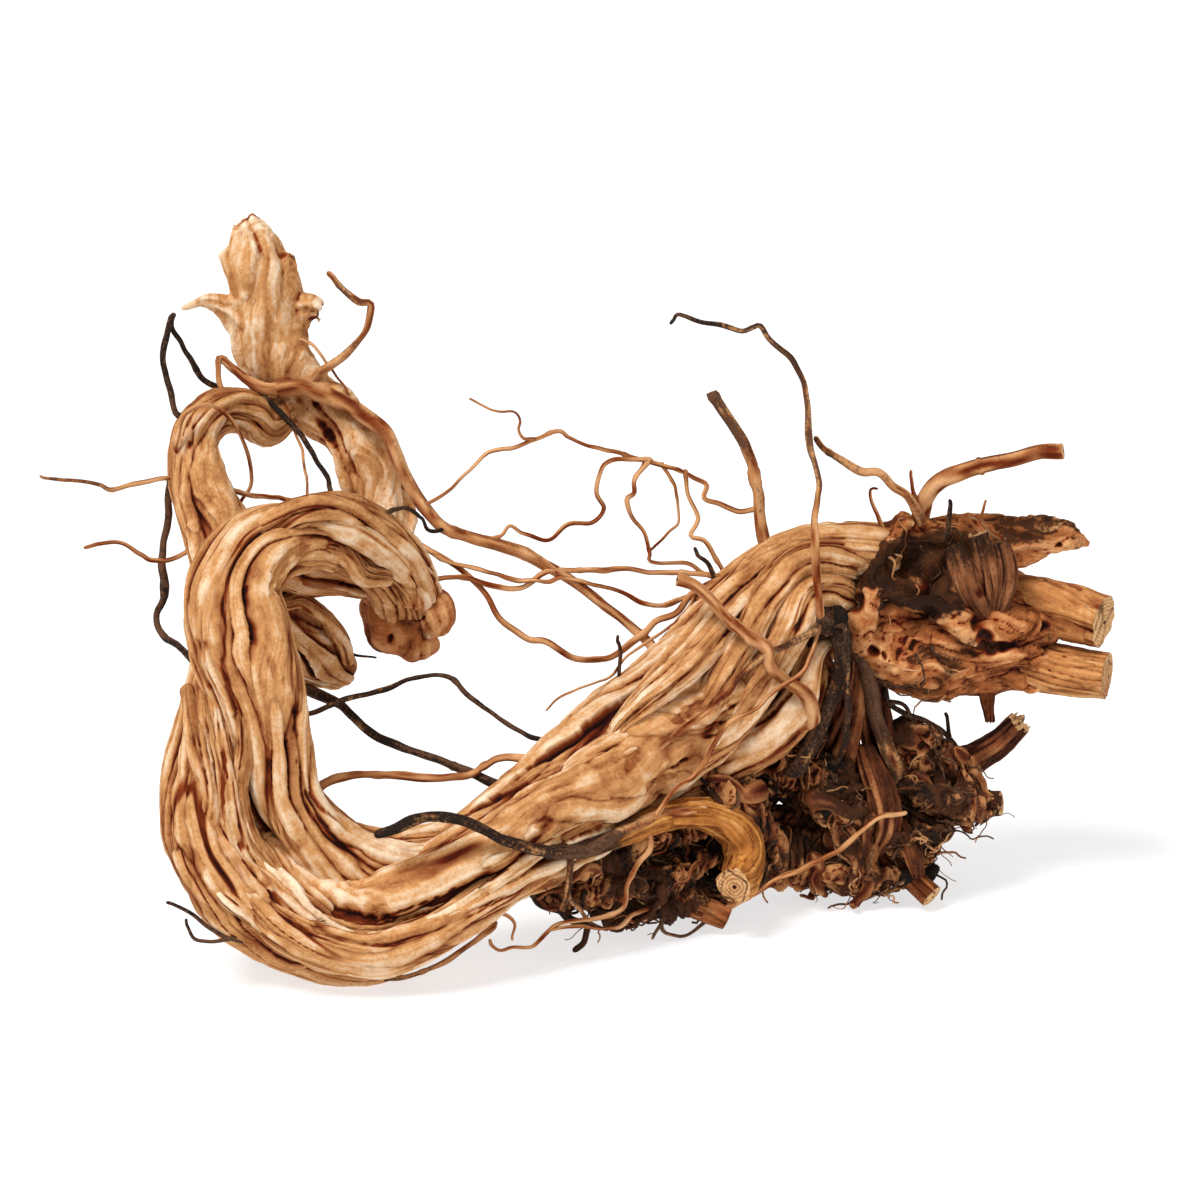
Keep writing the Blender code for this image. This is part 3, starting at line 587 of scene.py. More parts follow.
ropeLook = {
    "pale": {"spacing": 1.5, "faceWidth": 0.8, "lobes": 0.16,
             "strandWidth": (5, 14), "strandLength": (60, 200)},
    "wood": {"spacing": 1.4, "faceWidth": 0.8, "lobes": 0.22,
             "strandWidth": (4, 13), "strandLength": (30, 120), "turnLength": 380, "wander": 0.6},
    "core": {"spacing": 0.8, "faceWidth": 0.4, "lobes": 0.2, "sides": 4,
             "strandWidth": (12, 26), "strandLength": (60, 90), "strandHeight": 0.2, "strandsPerRound": 1.0,
             "depth": 4, "wander": 0.1, "cracks": 2.2, "stringy": 0.3},
    "back": {"spacing": 1.4, "faceWidth": 0.8, "lobes": 0.15,
             "strandWidth": (5, 15), "strandLength": (40, 120)},
    "amber": {"spacing": 1.3, "faceWidth": 0.7, "lobes": 0.22,
              "strandWidth": (6, 15), "strandLength": (50, 120), "strandHeight": 0.3,
              "depth": 2.5, "cracks": 0.3, "stringy": 0.3},
    "dark": {"spacing": 1.8, "faceWidth": 1.1, "lobes": 0.35,
             "strandWidth": (3, 11), "strandLength": (25, 90), "turnLength": 300, "wander": 0.9, "depth": 8},
}
ropeDirt = {                         # how dirty, or how dirty at the start and at the end
    "pale": 0.0, "back": 0.0, "wood": 0.25, "core": (0.7, -0.3), "amber": (0.95, -0.5), "dark": 0.75,
}
ropeEnds = {
    "pale": ("round", "point"),
    "wood": ("round", "round"),
    "core": ("torn", "point"),
    "back": ("round", "torn"),
    "amber": ("round", "sawn"),
    "dark": ("round", "round"),
}
ropeSeed, ropeSeedStep = 400, 31
ropePieces, crownSheets, burlSheets, backSheets = {}, [], [], []
for k, (name, (kind, points)) in enumerate(ropes.items()):
    rope = stem(points, ropeSeed + ropeSeedStep * k, ropeEnds[kind], ropeLook[kind], ropeDirt[kind])
    if name.startswith("crown"):
        crownSheets.append(rope)
    elif kind == "dark":
        burlSheets.append(rope)
    elif kind == "back":
        backSheets.append(rope)
    else:
        ropePieces[name] = rolledSheet(name, [rope])
print("ropes laid", sum(len(p.data.polygons) for p in ropePieces.values()))


# The crown: swellings grown together, then roughened.

swellings = {                        # centre and reach
    "crown": ((183, 110, 160), (44, 40, 32)),
    "crown_right": ((220, 110, 144), (36, 34, 30)),
    "crown_low": ((196, 100, 131), (42, 34, 22)),
    "shoulder": ((154, 98, 159), (26, 30, 26)),
    "heart": ((100, 88, 86), (34, 34, 36)),
    "cheek": ((73, 73, 61), (32, 32, 28)),
    "chin": ((47, 58, 30), (34, 30, 20)),
    "foot_left": ((20, 51, 32), (30, 20, 13)),
    "belly": ((137, 96, 56), (36, 32, 26)),
    "rump": ((169, 104, 40), (30, 34, 26)),
    "tail": ((190, 110, 57), (24, 26, 20)),
    "keel": ((140, 94, 25), (34, 26, 14)),
    "knob": ((123, 56, 161), (14, 12, 14)),
    "waist": ((104, 82, 32), (30, 26, 24)),
    "brow": ((-94, 60, 178), (17, 17, 14)),
    "cheekbone": ((-94, 68, 158), (17, 15, 19)),
    "snout": ((-86, 68, 144), (12, 11, 8)),
    "boss": ((-73, 62, 163), (9.5, 10, 11)),
    "jaw": ((-102, 72, 149), (9, 10, 12)),
}

crownLook = {
    "seed": 81,
    "names": ("crown", "crown_right", "crown_low", "shoulder"),
    "voxel": 1.1,                    # millimetres
    "smooth": 8,
    "fibre": (22, 4.2, 4.2),
    "along": 0,                      # the axis that most of its fibres follow
    "sink": 5,                       # how far its swellings lie under the roots that cross them
    "gain": 0.5,                     # how rough it is
    "grit": 1.5,
    "pitted": 0.84,                  # 1 is without pits
}
burlLook = {
    "seed": 91,
    "names": ("heart", "cheek", "chin", "foot_left", "waist", "belly", "rump", "tail", "keel", "knob"),
    "voxel": 1.2,
    "smooth": 2,
    "fibre": (3.4, 3.4, 20),
    "along": 2,
    "sink": 6,
    "gain": 1.3,
    "grit": 0.9,
    "pitted": 0.8,
}
headLook = {
    **crownLook,
    "seed": 77,
    "names": ("brow", "cheekbone", "snout", "boss", "jaw"),
    "fibre": (4, 4, 16),
    "along": 2,
    "sink": 0,
    "gain": 0.3,
}
backGrown = {
    **crownLook,
    "seed": 61,
    "names": (),
    "voxel": 0.95,
    "smooth": 2,
    "fibre": (4, 4, 30),
    "along": 2,
    "gain": 0.12,
    "pitted": 1,
}
crownHollows = [                     # centre, reach and depth of each dent, which also gets painted shade
    ((188, 60, 182), (34, 34, 19), 17),
    ((162, 62, 186), (15, 26, 13), 10),
    ((206, 64, 158), (9, 16, 12), 8),
    ((178, 62, 160), (7, 14, 6), 5),
    ((136, 60, 168), (9, 16, 9), 7),
    ((214, 70, 140), (14, 16, 4), 4),
    ((150, 60, 140), (5, 14, 5), 5),
]
burlHollows = [
    ((128, 70, 66), (13, 20, 11), 12),
    ((150, 76, 60), (10, 18, 9), 10),
    ((100, 62, 60), (12, 14, 10), 8),
]
headHollows = [
    ((-97, 40, 150), (4, 14, 9), 6),
    ((-78, 44, 160), (5, 10, 4), 4),
]
floorGap = 1.0                       # how far above the floor the lowest wood stays, in millimetres


def grownTogether(name, look, sheets):
    parts = [rolledSheet("part", [sheet]) for sheet in sheets]
    for each in look["names"]:
        centre, reach = swellings[each]
        bpy.ops.mesh.primitive_ico_sphere_add(subdivisions=5, radius=1)
        lump = bpy.context.object
        p = np.array([v.co for v in lump.data.vertices])
        wobble = 1 + 0.25 * rough(p + np.array(centre) / 10, 0.7, 7, 3)
        p = (p * wobble[:, None] * (np.array(reach) - look["sink"]) + centre - baseCentre) / 1000
        lump.data.vertices.foreach_set("co", p.ravel())
        lump.select_set(False)
        parts.append(lump)
    for part in parts:
        part.select_set(True)
    bpy.context.view_layer.objects.active = parts[-1]
    bpy.ops.object.join()
    piece = bpy.context.object
    for attribute in (*sheetValues, "grain"):
        piece.data.attributes.remove(piece.data.attributes[attribute])
    piece.name = name
    remesh = piece.modifiers.new("grown together", "REMESH")
    remesh.mode = "VOXEL"
    remesh.voxel_size = look["voxel"] / 1000
    bpy.ops.object.modifier_apply(modifier="grown together")
    bpy.ops.object.mode_set(mode="EDIT")
    bpy.ops.mesh.select_all(action="SELECT")
    bpy.ops.mesh.vertices_smooth(factor=0.5, repeat=look["smooth"])
    bpy.ops.object.mode_set(mode="OBJECT")
    bpy.ops.object.shade_smooth()
    piece.select_set(False)
    return piece


def meshArrays(piece):
    places = np.empty(len(piece.data.vertices) * 3)
    normals = np.empty_like(places)
    piece.data.vertices.foreach_get("co", places)
    piece.data.vertices.foreach_get("normal", normals)
    return places.reshape(-1, 3) * 1000 + baseCentre, normals.reshape(-1, 3)


def setPlaces(piece, places):
    piece.data.vertices.foreach_set("co", ((places - baseCentre) / 1000).ravel())
    piece.data.update()


def relaxed(piece, p, turns):                # the places after their neighbours have pulled on them
    ends = np.empty(2 * len(piece.data.edges), int)
    piece.data.edges.foreach_get("vertices", ends)
    a, b = ends.reshape(-1, 2).T
    degree = np.bincount(a, minlength=len(p)) + np.bincount(b, minlength=len(p))
    for _ in range(turns):
        pull = [np.bincount(a, p[b, k], len(p)) + np.bincount(b, p[a, k], len(p)) for k in range(3)]
        p = 0.4 * p + 0.6 * np.stack(pull, axis=1) / degree[:, None]
    return p


def knotted(piece, look, hollows, dirtAt):
    seed = look["seed"]
    p, n = meshArrays(piece)
    bend = np.stack([rough(p, 30, seed + k, 2) for k in (1, 2, 3)], axis=1)
    q = p + 20 * bend
    size = np.array(look["fibre"])
    near, second, _ = cells(q, size * 3.4, seed + 5)
    knots = np.sqrt(np.clip((second - near) * 1.9, 0, 1))
    near, second, which = cells(q, size * 1.4, seed + 6)
    strands = np.sqrt(np.clip((second - near) * 2.0, 0, 1))
    fibre = rough(q, size, seed + 7, 2)
    grit = rough(p, 3.4, seed + 8, 3, 0.65)
    patchy = soft(rough(p, 26, seed + 12, 2), -0.15, 0.25)
    pit, _, pitSize = cells(p, 6, seed + 9)
    pits = (1 - soft(pit, 0.12, 0.36)) * (pitSize > look["pitted"]) * patchy
    holes = soft(bumps(q, 11, seed + 10), look["pitted"] - 0.28, look["pitted"] + 0.04)
    height = 3.2 * (knots - 0.6) + 1.6 * (strands - 0.6) + 0.8 * fibre
    height = height + look["grit"] * grit * (0.3 + patchy) - 1.8 * pits - 6 * holes
    height = look["gain"] * height + 4 * rough(p, 24, seed + 4, 2)
    # painted shade in the pits and holes, and below in the dents
    recessShade = 0.7 * pits + 0.7 * holes
    for centre, reach, deep in hollows:
        out = np.linalg.norm((p - centre) / reach, axis=1) + 0.2 * bumps(p, 9, seed + 11)
        share = 1 - soft(out, 0.5, 1.0)
        height = height - deep * share
        recessShade = recessShade + 1.1 * share
    places = p + n * height[:, None]
    places[:, 2] = np.maximum(places[:, 2], floorGap)
    setPlaces(piece, places)
    places, n = meshArrays(piece)
    near, far = (((relaxed(piece, places, turns) - places) * n).sum(axis=1) for turns in (4, 40))
    aside = q[:, 2 - look["along"]] + 0.7 * q[:, 1]
    values = {
        # painted shade where the surface lies below its relaxed self, and in the pits, holes and dents
        "cavity": np.clip(0.7 * soft(near, 0.02, 0.5) + 0.75 * soft(far, 0.1, 2.6) + recessShade, 0, 1),
        "tone": np.clip(0.3 + 0.35 * (which - 0.5) + 0.3 * fibre + 0.5 * soft(-far, -0.3, 2.0), 0, 1),
        "dirt": dirtAt(p),
        "sawn": 0 * far,
    }
    grain = np.stack([aside, q[:, look["along"]], 0 * aside], axis=-1) / 1000
    setPlaces(piece, places)
    for key, value in values.items():
        piece.data.attributes.new(key, "FLOAT", "POINT").data.foreach_set("value", value.ravel())
    piece.data.attributes.new("grain", "FLOAT_VECTOR", "POINT").data.foreach_set("vector", grain.ravel())
    return piece


def crownDarkening(p):                            # darker in patches, and most in the dented pocket and towards the back
    back = soft(p[:, 1], 110, 135)
    out = np.linalg.norm((p - (178, 62, 182)) / (40, 60, 23), axis=1) + 0.25 * bumps(p, 12, 73)
    pocket = 1 - soft(out, 0.6, 1.1)
    return np.clip(0.22 + 0.75 * rough(p, 20, 71, 3) + 0.3 * back + 0.75 * pocket, 0, 1)


def burlDirt(p):
    return np.clip(0.5 + 1.1 * rough(p, 18, 72, 3), 0, 1)


def noDirt(p):
    return 0 * p[:, 0]


def grown(name, look, sheets, hollows, dirtAt):
    return knotted(grownTogether(name, look, sheets), look, hollows, dirtAt)


headPiece = grown("head", headLook, headSheets, headHollows, noDirt)
crownPiece = grown("crown", crownLook, crownSheets, crownHollows, crownDarkening)
burlPiece = grown("lower_crown", burlLook, burlSheets, burlHollows, burlDirt)
backPiece = grown("back_stem", backGrown, [*backSheets, backStem], [], noDirt)
print("crown grown", len(crownPiece.data.polygons), len(burlPiece.data.polygons))


# Stubs: sawn and broken ends of the crown's own roots.

stubs = {                            # seed, radius at the start and at the end, route
    "sawn_upper": (108, 14, 11.7, [
        (229, 107, 151), (232, 106, 153), (248, 100, 152), (262, 94, 150), (269, 90, 149),
    ]),
    "sawn_lower": (115, 14, 11.2, [
        (218, 106, 135), (217, 104, 130), (237, 96, 123), (255, 90, 121), (271, 85, 121),
    ]),
    "drip": (122, 7, 2, [(204, 99, 122), (209, 98, 115), (211, 96, 105), (212, 94, 94)]),
    "torn": (129, 9, 6, [(190, 106, 61), (190, 104, 64), (205, 100, 73), (217, 94, 83), (227, 90, 95)]),
    "hollow": (136, 9, 6.5, [(191, 106, 52), (192, 102, 48), (205, 96, 49), (218, 92, 50)]),
    "sawn_foot": (143, 7, 6, [(149, 89, 26), (155, 86, 26), (168, 76, 18), (182, 67, 8)]),
    "low_cut": (157, 7, 6.5, [(49, 45, 24), (51, 33, 19), (64, 33, 13), (75, 33, 8)]),
    "rear_foot": (171, 16, 10, [(165, 113, 40), (157, 130, 39), (150, 140, 18), (142, 147, 6)]),
    "back_prop": (178, 13, 8, [
        (-167, -36, 62), (-159, -30, 67), (-155, 10, 39), (-152, 45, 17), (-151, 62, 9),
    ]),
}

stubLook = {
    "spacing": 1.2,
    "faceWidth": 0.7,
    "strandWidth": (5, 12),
    "strandHeight": 0.4,
    "strandLength": (30, 90),
    "depth": 3.0,
    "turnLength": 700,
    "wander": 0.3,
    "lobes": 0.12,
}
sawnLook = {
    **stubLook,
    "strandWidth": (9, 22),
    "strandHeight": 0.16,
    "depth": 1.4,
    "cracks": 0.7,
    "stringy": 0.1,
    "lobes": 0.16,
}
stubEnds = {"torn": "torn", "drip": "torn", "back_prop": "round"}
stubDirt = {"torn": 0.4, "hollow": 0.95, "sawn_foot": 0.35, "rear_foot": 0.6, "low_cut": 0.2}


def tapered(startRadius, endRadius, points):      # the points, each with its radius
    radii = np.linspace(startRadius, endRadius, len(points))
    return [(*point, radius) for point, radius in zip(points, radii)]


stubPieces = {}
for name, (seed, startRadius, endRadius, points) in stubs.items():
    shape = sawnLook if name.startswith("sawn_") else stubLook
    ends = ("round", stubEnds.get(name, "sawn"))
    stub = stem(tapered(startRadius, endRadius, points), seed, ends, shape, stubDirt.get(name, 0.1))
    stubPieces[name] = rolledSheet(name, [stub])
print("stubs cut")


# Thin roots.

thinRoots = {
    "crossing_start": (1.2, 3.6, [
        (-183, 110, 262), (-186, 120, 281), (-179, 122, 275), (-171, 121, 270), (-161, 118, 266),
        (-144, 116, 267),
    ]),
    "crossing_root": (4.2, 2.6, [
        (-152, 131, 265), (-154, 117, 266), (-144, 116, 267), (-127, 112, 263), (-110, 106, 255),
        (-100, 102, 248), (-95, 98, 236), (-89, 94, 223), (-80, 88, 211), (-70, 82, 203),
        (-57, 81, 198), (-43, 81, 194), (-29, 84, 188), (-12, 88, 177), (2, 91, 167), (16, 92, 155),
        (31, 91, 142), (44, 81, 130),
    ]),
    "tall_whip": (2.0, 1.0, [
        (122, 53, 164), (122, 50, 167), (120, 48, 187), (118, 50, 210), (120, 52, 226), (121, 52, 235),
        (117, 55, 248), (115, 57, 264), (114, 59, 279), (112, 60, 287), (107, 62, 295), (101, 64, 301),
        (95, 65, 307), (91, 66, 313), (87, 67, 312), (81, 67, 310), (71, 67, 313), (62, 65, 315),
        (52, 63, 319), (48, 61, 320), (46, 61, 316),
    ]),
    "banded_stub": (3.1, 2.7, [
        (101, 99, 177), (95, 104, 185), (92, 108, 201), (91, 110, 214), (89, 112, 226), (85, 113, 236),
        (79, 114, 245), (73, 115, 255), (67, 115, 265),
    ]),
    "forked_root": (2.6, 1.7, [
        (174, 103, 198), (174, 92, 206), (168, 86, 217), (160, 82, 224), (152, 80, 232),
        (143, 78, 233), (132, 76, 240), (124, 75, 245), (120, 74, 251),
    ]),
    "sawn_branch": (4.8, 3.8, [
        (177, 106, 181), (174, 104, 192), (174, 102, 205), (178, 98, 216), (184, 96, 223),
        (194, 94, 228), (206, 92, 233), (220, 90, 236), (235, 87, 240), (246, 85, 242),
    ]),
    "hooked_twig": (1.2, 0.8, [
        (152, 97, 184), (155, 90, 197), (151, 86, 209), (148, 84, 217), (148, 83, 222), (151, 82, 223),
    ]),
    "dark_peg": (1.4, 1.0, [(186, 99, 184), (189, 90, 203), (189, 86, 215)]),
    "pale_peg": (1.3, 0.8, [(217, 101, 190), (206, 90, 203), (206, 88, 210), (207, 86, 215)]),
    "shard": (1.7, 0.8, [(175, 101, 207), (171, 94, 218), (169, 92, 229)]),
    "net_top": (1.3, 1.0, [
        (92, 109, 204), (82, 113, 202), (72, 115, 205), (64, 115, 209), (65, 118, 215), (58, 118, 219),
        (50, 118, 223), (35, 114, 229), (20, 110, 234), (7, 105, 238), (-6, 100, 245), (-12, 98, 249),
        (-24, 93, 246), (-35, 90, 242), (-48, 87, 239), (-56, 86, 231), (-73, 84, 217), (-81, 89, 212),
    ]),
    "net_tip": (0.9, 0.6, [
        (-24, 93, 246), (-29, 91, 247), (-32, 92, 251), (-31, 94, 256), (-34, 94, 260), (-43, 93, 261),
        (-56, 94, 267),
    ]),
    "net_left": (1.3, 1.0, [
        (35, 114, 229), (21, 108, 231), (15, 105, 231), (11, 104, 227), (8, 103, 215), (12, 107, 205),
        (6, 104, 198), (-6, 96, 200), (-17, 90, 193), (-29, 85, 198), (-36, 84, 203), (-41, 82, 198),
        (-51, 81, 196),
    ]),
    "net_loop": (1.3, 1.1, [
        (34, 114, 228), (28, 107, 221), (28, 105, 214), (24, 102, 211), (27, 103, 201), (32, 104, 194),
        (36, 103, 183), (37, 102, 178), (55, 107, 175), (63, 105, 171), (73, 99, 169), (78, 96, 165),
    ]),
    "net_thread": (0.9, 0.7, [
        (42, 116, 226), (48, 119, 214), (51, 118, 196), (45, 113, 190), (36, 103, 184),
    ]),
    "net_right": (1.2, 1.0, [
        (54, 118, 221), (56, 118, 209), (61, 116, 197), (57, 112, 189), (64, 111, 186), (72, 106, 175),
        (74, 99, 169), (79, 96, 166),
    ]),
    "net_mid": (1.5, 1.3, [
        (79, 94, 167), (74, 97, 171), (62, 102, 172), (46, 104, 172), (21, 98, 175), (2, 93, 176),
        (-13, 87, 178), (-19, 84, 177), (-27, 83, 171), (-36, 81, 170), (-49, 78, 173), (-57, 77, 176),
        (-66, 77, 177), (-82, 78, 174), (-87, 82, 170),
    ]),
    "net_under": (1.3, 1.1, [
        (71, 100, 169), (62, 98, 163), (53, 98, 159), (42, 97, 156), (33, 96, 158), (20, 95, 164),
        (7, 91, 169), (-9, 86, 174), (-16, 85, 172), (-25, 82, 174), (-37, 81, 176), (-53, 79, 181),
        (-67, 81, 184), (-80, 86, 190), (-92, 92, 195), (-95, 96, 192),
    ]),
    "net_low": (1.9, 1.4, [
        (79, 94, 166), (73, 97, 170), (58, 95, 163), (49, 89, 154), (38, 86, 151), (31, 87, 142),
        (21, 86, 135), (12, 85, 131), (-3, 80, 133), (-17, 78, 142), (-27, 77, 144), (-40, 77, 154),
        (-49, 80, 168), (-59, 81, 178), (-73, 84, 187), (-86, 90, 192), (-93, 95, 188),
    ]),
    "net_wisp": (0.9, 0.6, [
        (59, 95, 164), (54, 88, 155), (41, 82, 146), (24, 68, 138), (16, 54, 132), (5, 39, 132),
        (-10, 25, 130), (-17, 18, 125),
    ]),
    "black_spur": (1.2, 0.9, [(25, 56, 123), (20, 57, 130), (21, 56, 142), (19, 52, 153)]),
    "black_fork": (1.2, 0.8, [(69, 99, 171), (65, 100, 178), (60, 99, 182), (59, 101, 185)]),
    "ear_root": (2.6, 2.2, [
        (-142, 68, 129), (-144, 66, 123), (-126, 58, 117), (-117, 52, 111), (-105, 44, 103),
        (-92, 36, 100), (-78, 28, 98), (-66, 21, 95), (-55, 18, 91), (-41, 12, 86), (-34, 8, 82),
    ]),
    "cross_bar": (2.2, 2.0, [
        (-140, -22, 87), (-129, -12, 95), (-116, -2, 96), (-99, 6, 94), (-79, 10, 92), (-56, 13, 92),
        (-47, 13, 97), (-41, 12, 101), (-25, 14, 100), (-21, 13, 95),
    ]),
    "dark_arc": (1.5, 1.2, [
        (-149, -21, 121), (-141, 10, 123), (-132, 16, 125), (-117, 26, 129), (-99, 34, 131),
        (-86, 38, 135), (-69, 40, 136), (-57, 37, 127), (-45, 34, 119), (-34, 32, 111), (-18, 25, 106),
        (-13, 23, 100),
    ]),
    "dark_tip": (0.9, 0.6, [(-123, 73, 137), (-121, 72, 140), (-115, 70, 138), (-105, 68, 137)]),
    "front_root": (3.4, 2.6, [
        (83, 39, 52), (76, 30, 64), (64, 22, 70), (52, 13, 72), (40, 5, 73), (27, -5, 71),
        (14, -16, 68), (3, -25, 65), (-12, -36, 68), (-19, -42, 71), (-34, -53, 78), (-48, -60, 88),
        (-61, -62, 94), (-74, -62, 95), (-89, -60, 89), (-99, -58, 85),
    ]),
    "broken_branch": (3.6, 3.0, [
        (109, 68, 98), (118, 46, 112), (113, 38, 128), (104, 34, 137), (96, 32, 145), (93, 32, 154),
        (86, 33, 159), (77, 34, 167), (67, 35, 177), (58, 35, 185), (49, 34, 189),
    ]),
    "purple_root": (1.8, 1.3, [
        (121, 52, 160), (118, 44, 158), (104, 36, 154), (93, 30, 150), (81, 27, 140), (71, 24, 129),
        (59, 19, 120), (47, 15, 112), (36, 11, 103), (30, 13, 95),
    ]),
    "pale_root": (1.1, 1.4, [
        (121, 51, 157), (114, 30, 143), (100, 28, 133), (89, 26, 123), (77, 22, 118), (69, 20, 108),
        (64, 18, 98), (58, 15, 91), (50, 11, 87), (43, 6, 80), (37, 2, 72),
    ]),
    "low_right_root": (1.6, 1.3, [
        (69, 35, 10), (75, 31, 14), (89, 30, 23), (104, 28, 33), (117, 30, 38), (132, 32, 45),
        (143, 36, 54), (153, 40, 60), (166, 50, 59),
    ]),
    "black_right": (1.5, 1.1, [
        (166, 92, 124), (159, 90, 122), (158, 84, 109), (168, 86, 101), (178, 90, 96), (188, 96, 87),
        (194, 102, 79), (197, 102, 73),
    ]),
    "black_prong": (1.2, 0.8, [(159, 84, 108), (166, 84, 107), (170, 86, 101), (174, 90, 92)]),
    "black_stud": (1.2, 1.0, [(191, 99, 83), (189, 94, 98)]),
    "pillar_front": (5.0, 4.4, [
        (125, 57, 160), (130, 60, 158), (133, 56, 139), (129, 54, 121), (121, 52, 103), (111, 52, 83),
        (107, 65, 84),
    ]),
    "pillar_back": (4.8, 4.0, [
        (146, 85, 150), (141, 76, 144), (148, 76, 122), (152, 76, 104), (159, 78, 84), (164, 80, 70),
        (155, 85, 65),
    ]),
    "pillar_thin": (1.8, 1.6, [
        (128, 54, 159), (135, 50, 157), (136, 46, 132), (136, 48, 110), (132, 54, 86), (118, 69, 86),
    ]),
    "floor_root": (1.5, 0.8, [
        (34, 0, 72), (35, -2, 59), (31, -5, 53), (26, -8, 46), (23, -9, 39), (22, -8, 30),
        (17, -9, 26), (6, -16, 25), (-6, -24, 26), (-13, -28, 25), (-20, -33, 20), (-26, -36, 17),
        (-34, -40, 19), (-40, -44, 19), (-45, -46, 24),
    ]),
    "floor_wisp": (1.2, 0.9, [
        (47, 21, 20), (37, 14, 21), (27, 5, 20), (21, -1, 16), (14, -8, 17), (0, -19, 22),
        (-14, -29, 24),
    ]),
    "hanging_root": (1.7, 1.4, [
        (-10, -24, 67), (-5, -29, 66), (-5, -29, 54), (-7, -28, 41), (-9, -28, 36),
    ]),
    "hanging_wisp": (1.2, 1.0, [
        (-7, -28, 44), (-5, -23, 38), (1, -17, 29), (6, -13, 21), (13, -9, 17),
    ]),
    "foot_loop": (1.2, 0.9, [
        (43, 20, 21), (41, 17, 12), (42, 17, 7), (47, 20, 4), (55, 25, 2), (61, 30, 5), (68, 35, 9),
    ]),
    "foot_fork": (1.3, 0.9, [(45, 21, 21), (43, 17, 13), (37, 12, 5)]),
    "bend_spur": (1.0, 0.7, [(-43, -41, 40), (-33, -37, 31), (-34, -40, 23)]),
    "bend_vein": (1.6, 1.0, [
        (-47, -35, 35), (-43, -37, 29), (-50, -40, 24), (-60, -44, 18), (-75, -46, 10), (-87, -45, 5),
        (-101, -44, 3), (-117, -44, 3), (-130, -44, 7), (-129, -43, 12),
    ]),
    "left_whisker": (1.4, 0.9, [
        (-157, -53, 29), (-159, -56, 26), (-175, -58, 30), (-185, -58, 35), (-194, -57, 42),
        (-205, -56, 48),
    ]),
    "left_fork": (1.1, 0.8, [(-173, -58, 30), (-185, -60, 29), (-193, -60, 31), (-196, -60, 40)]),
    "dark_drop": (1.9, 1.7, [
        (-203, 78, 235), (-206, 78, 234), (-210, 76, 219), (-211, 72, 203), (-213, 66, 190),
        (-212, 56, 174), (-215, 46, 165), (-211, 36, 158), (-201, 20, 157), (-189, -7, 152),
    ]),
    "v_left": (1.8, 1.4, [
        (-199, 92, 256), (-205, 92, 259), (-207, 92, 263), (-210, 96, 277), (-213, 100, 288),
        (-210, 104, 299), (-208, 108, 307),
    ]),
    "v_right": (1.4, 1.5, [
        (-167, 121, 256), (-176, 124, 260), (-185, 120, 266), (-194, 116, 272), (-200, 112, 284),
        (-204, 110, 292), (-208, 108, 300), (-208, 108, 307),
    ]),
    "far_left_root": (1.4, 0.8, [
        (-202, 73, 231), (-206, 72, 231), (-211, 66, 233), (-227, 60, 232), (-238, 56, 230),
        (-243, 54, 233), (-250, 52, 235), (-263, 50, 237), (-272, 48, 239),
    ]),
    "far_left_low": (1.5, 0.9, [
        (-190, 60, 205), (-196, 50, 201), (-206, 44, 197), (-217, 40, 197), (-222, 38, 201),
        (-231, 36, 208), (-242, 34, 208), (-249, 34, 206),
    ]),
    "inner_loop": (1.3, 0.9, [
        (-200, 74, 243), (-205, 66, 248), (-203, 66, 261), (-198, 68, 268), (-188, 72, 270),
        (-179, 78, 262), (-172, 84, 247), (-169, 90, 233), (-169, 94, 221), (-174, 84, 215),
        (-182, 64, 209),
    ]),
    "inner_bar": (1.2, 1.3, [
        (-191, 62, 230), (-190, 60, 232), (-185, 72, 227), (-170, 86, 219), (-155, 96, 214),
        (-144, 98, 211), (-129, 102, 208), (-104, 104, 204),
    ]),
    "inner_dark": (1.5, 1.3, [
        (-168, 117, 258), (-164, 118, 262), (-155, 112, 256), (-144, 104, 246), (-136, 96, 236),
        (-129, 84, 228), (-126, 50, 226), (-125, 26, 222),
    ]),
    "inner_thread": (0.9, 0.7, [
        (-155, 124, 253), (-152, 118, 258), (-145, 104, 244), (-141, 88, 235), (-138, 50, 230),
        (-136, 19, 227),
    ]),
    "top_curl": (2.2, 1.6, [
        (-141, 131, 262), (-135, 126, 272), (-128, 122, 278), (-116, 118, 289), (-109, 116, 299),
        (-107, 116, 311), (-114, 116, 313), (-123, 118, 320), (-128, 120, 326),
    ]),
    "top_thread": (0.9, 0.6, [
        (-150, 135, 287), (-144, 132, 289), (-138, 126, 287), (-133, 122, 282), (-128, 122, 275),
        (-121, 120, 266), (-118, 118, 257), (-116, 114, 250), (-119, 122, 244),
    ]),
    "hook_whisker": (1.1, 0.9, [
        (-116, 26, 221), (-111, 22, 225), (-99, 30, 225), (-88, 46, 223), (-81, 60, 214),
        (-76, 74, 203), (-68, 82, 202),
    ]),
}

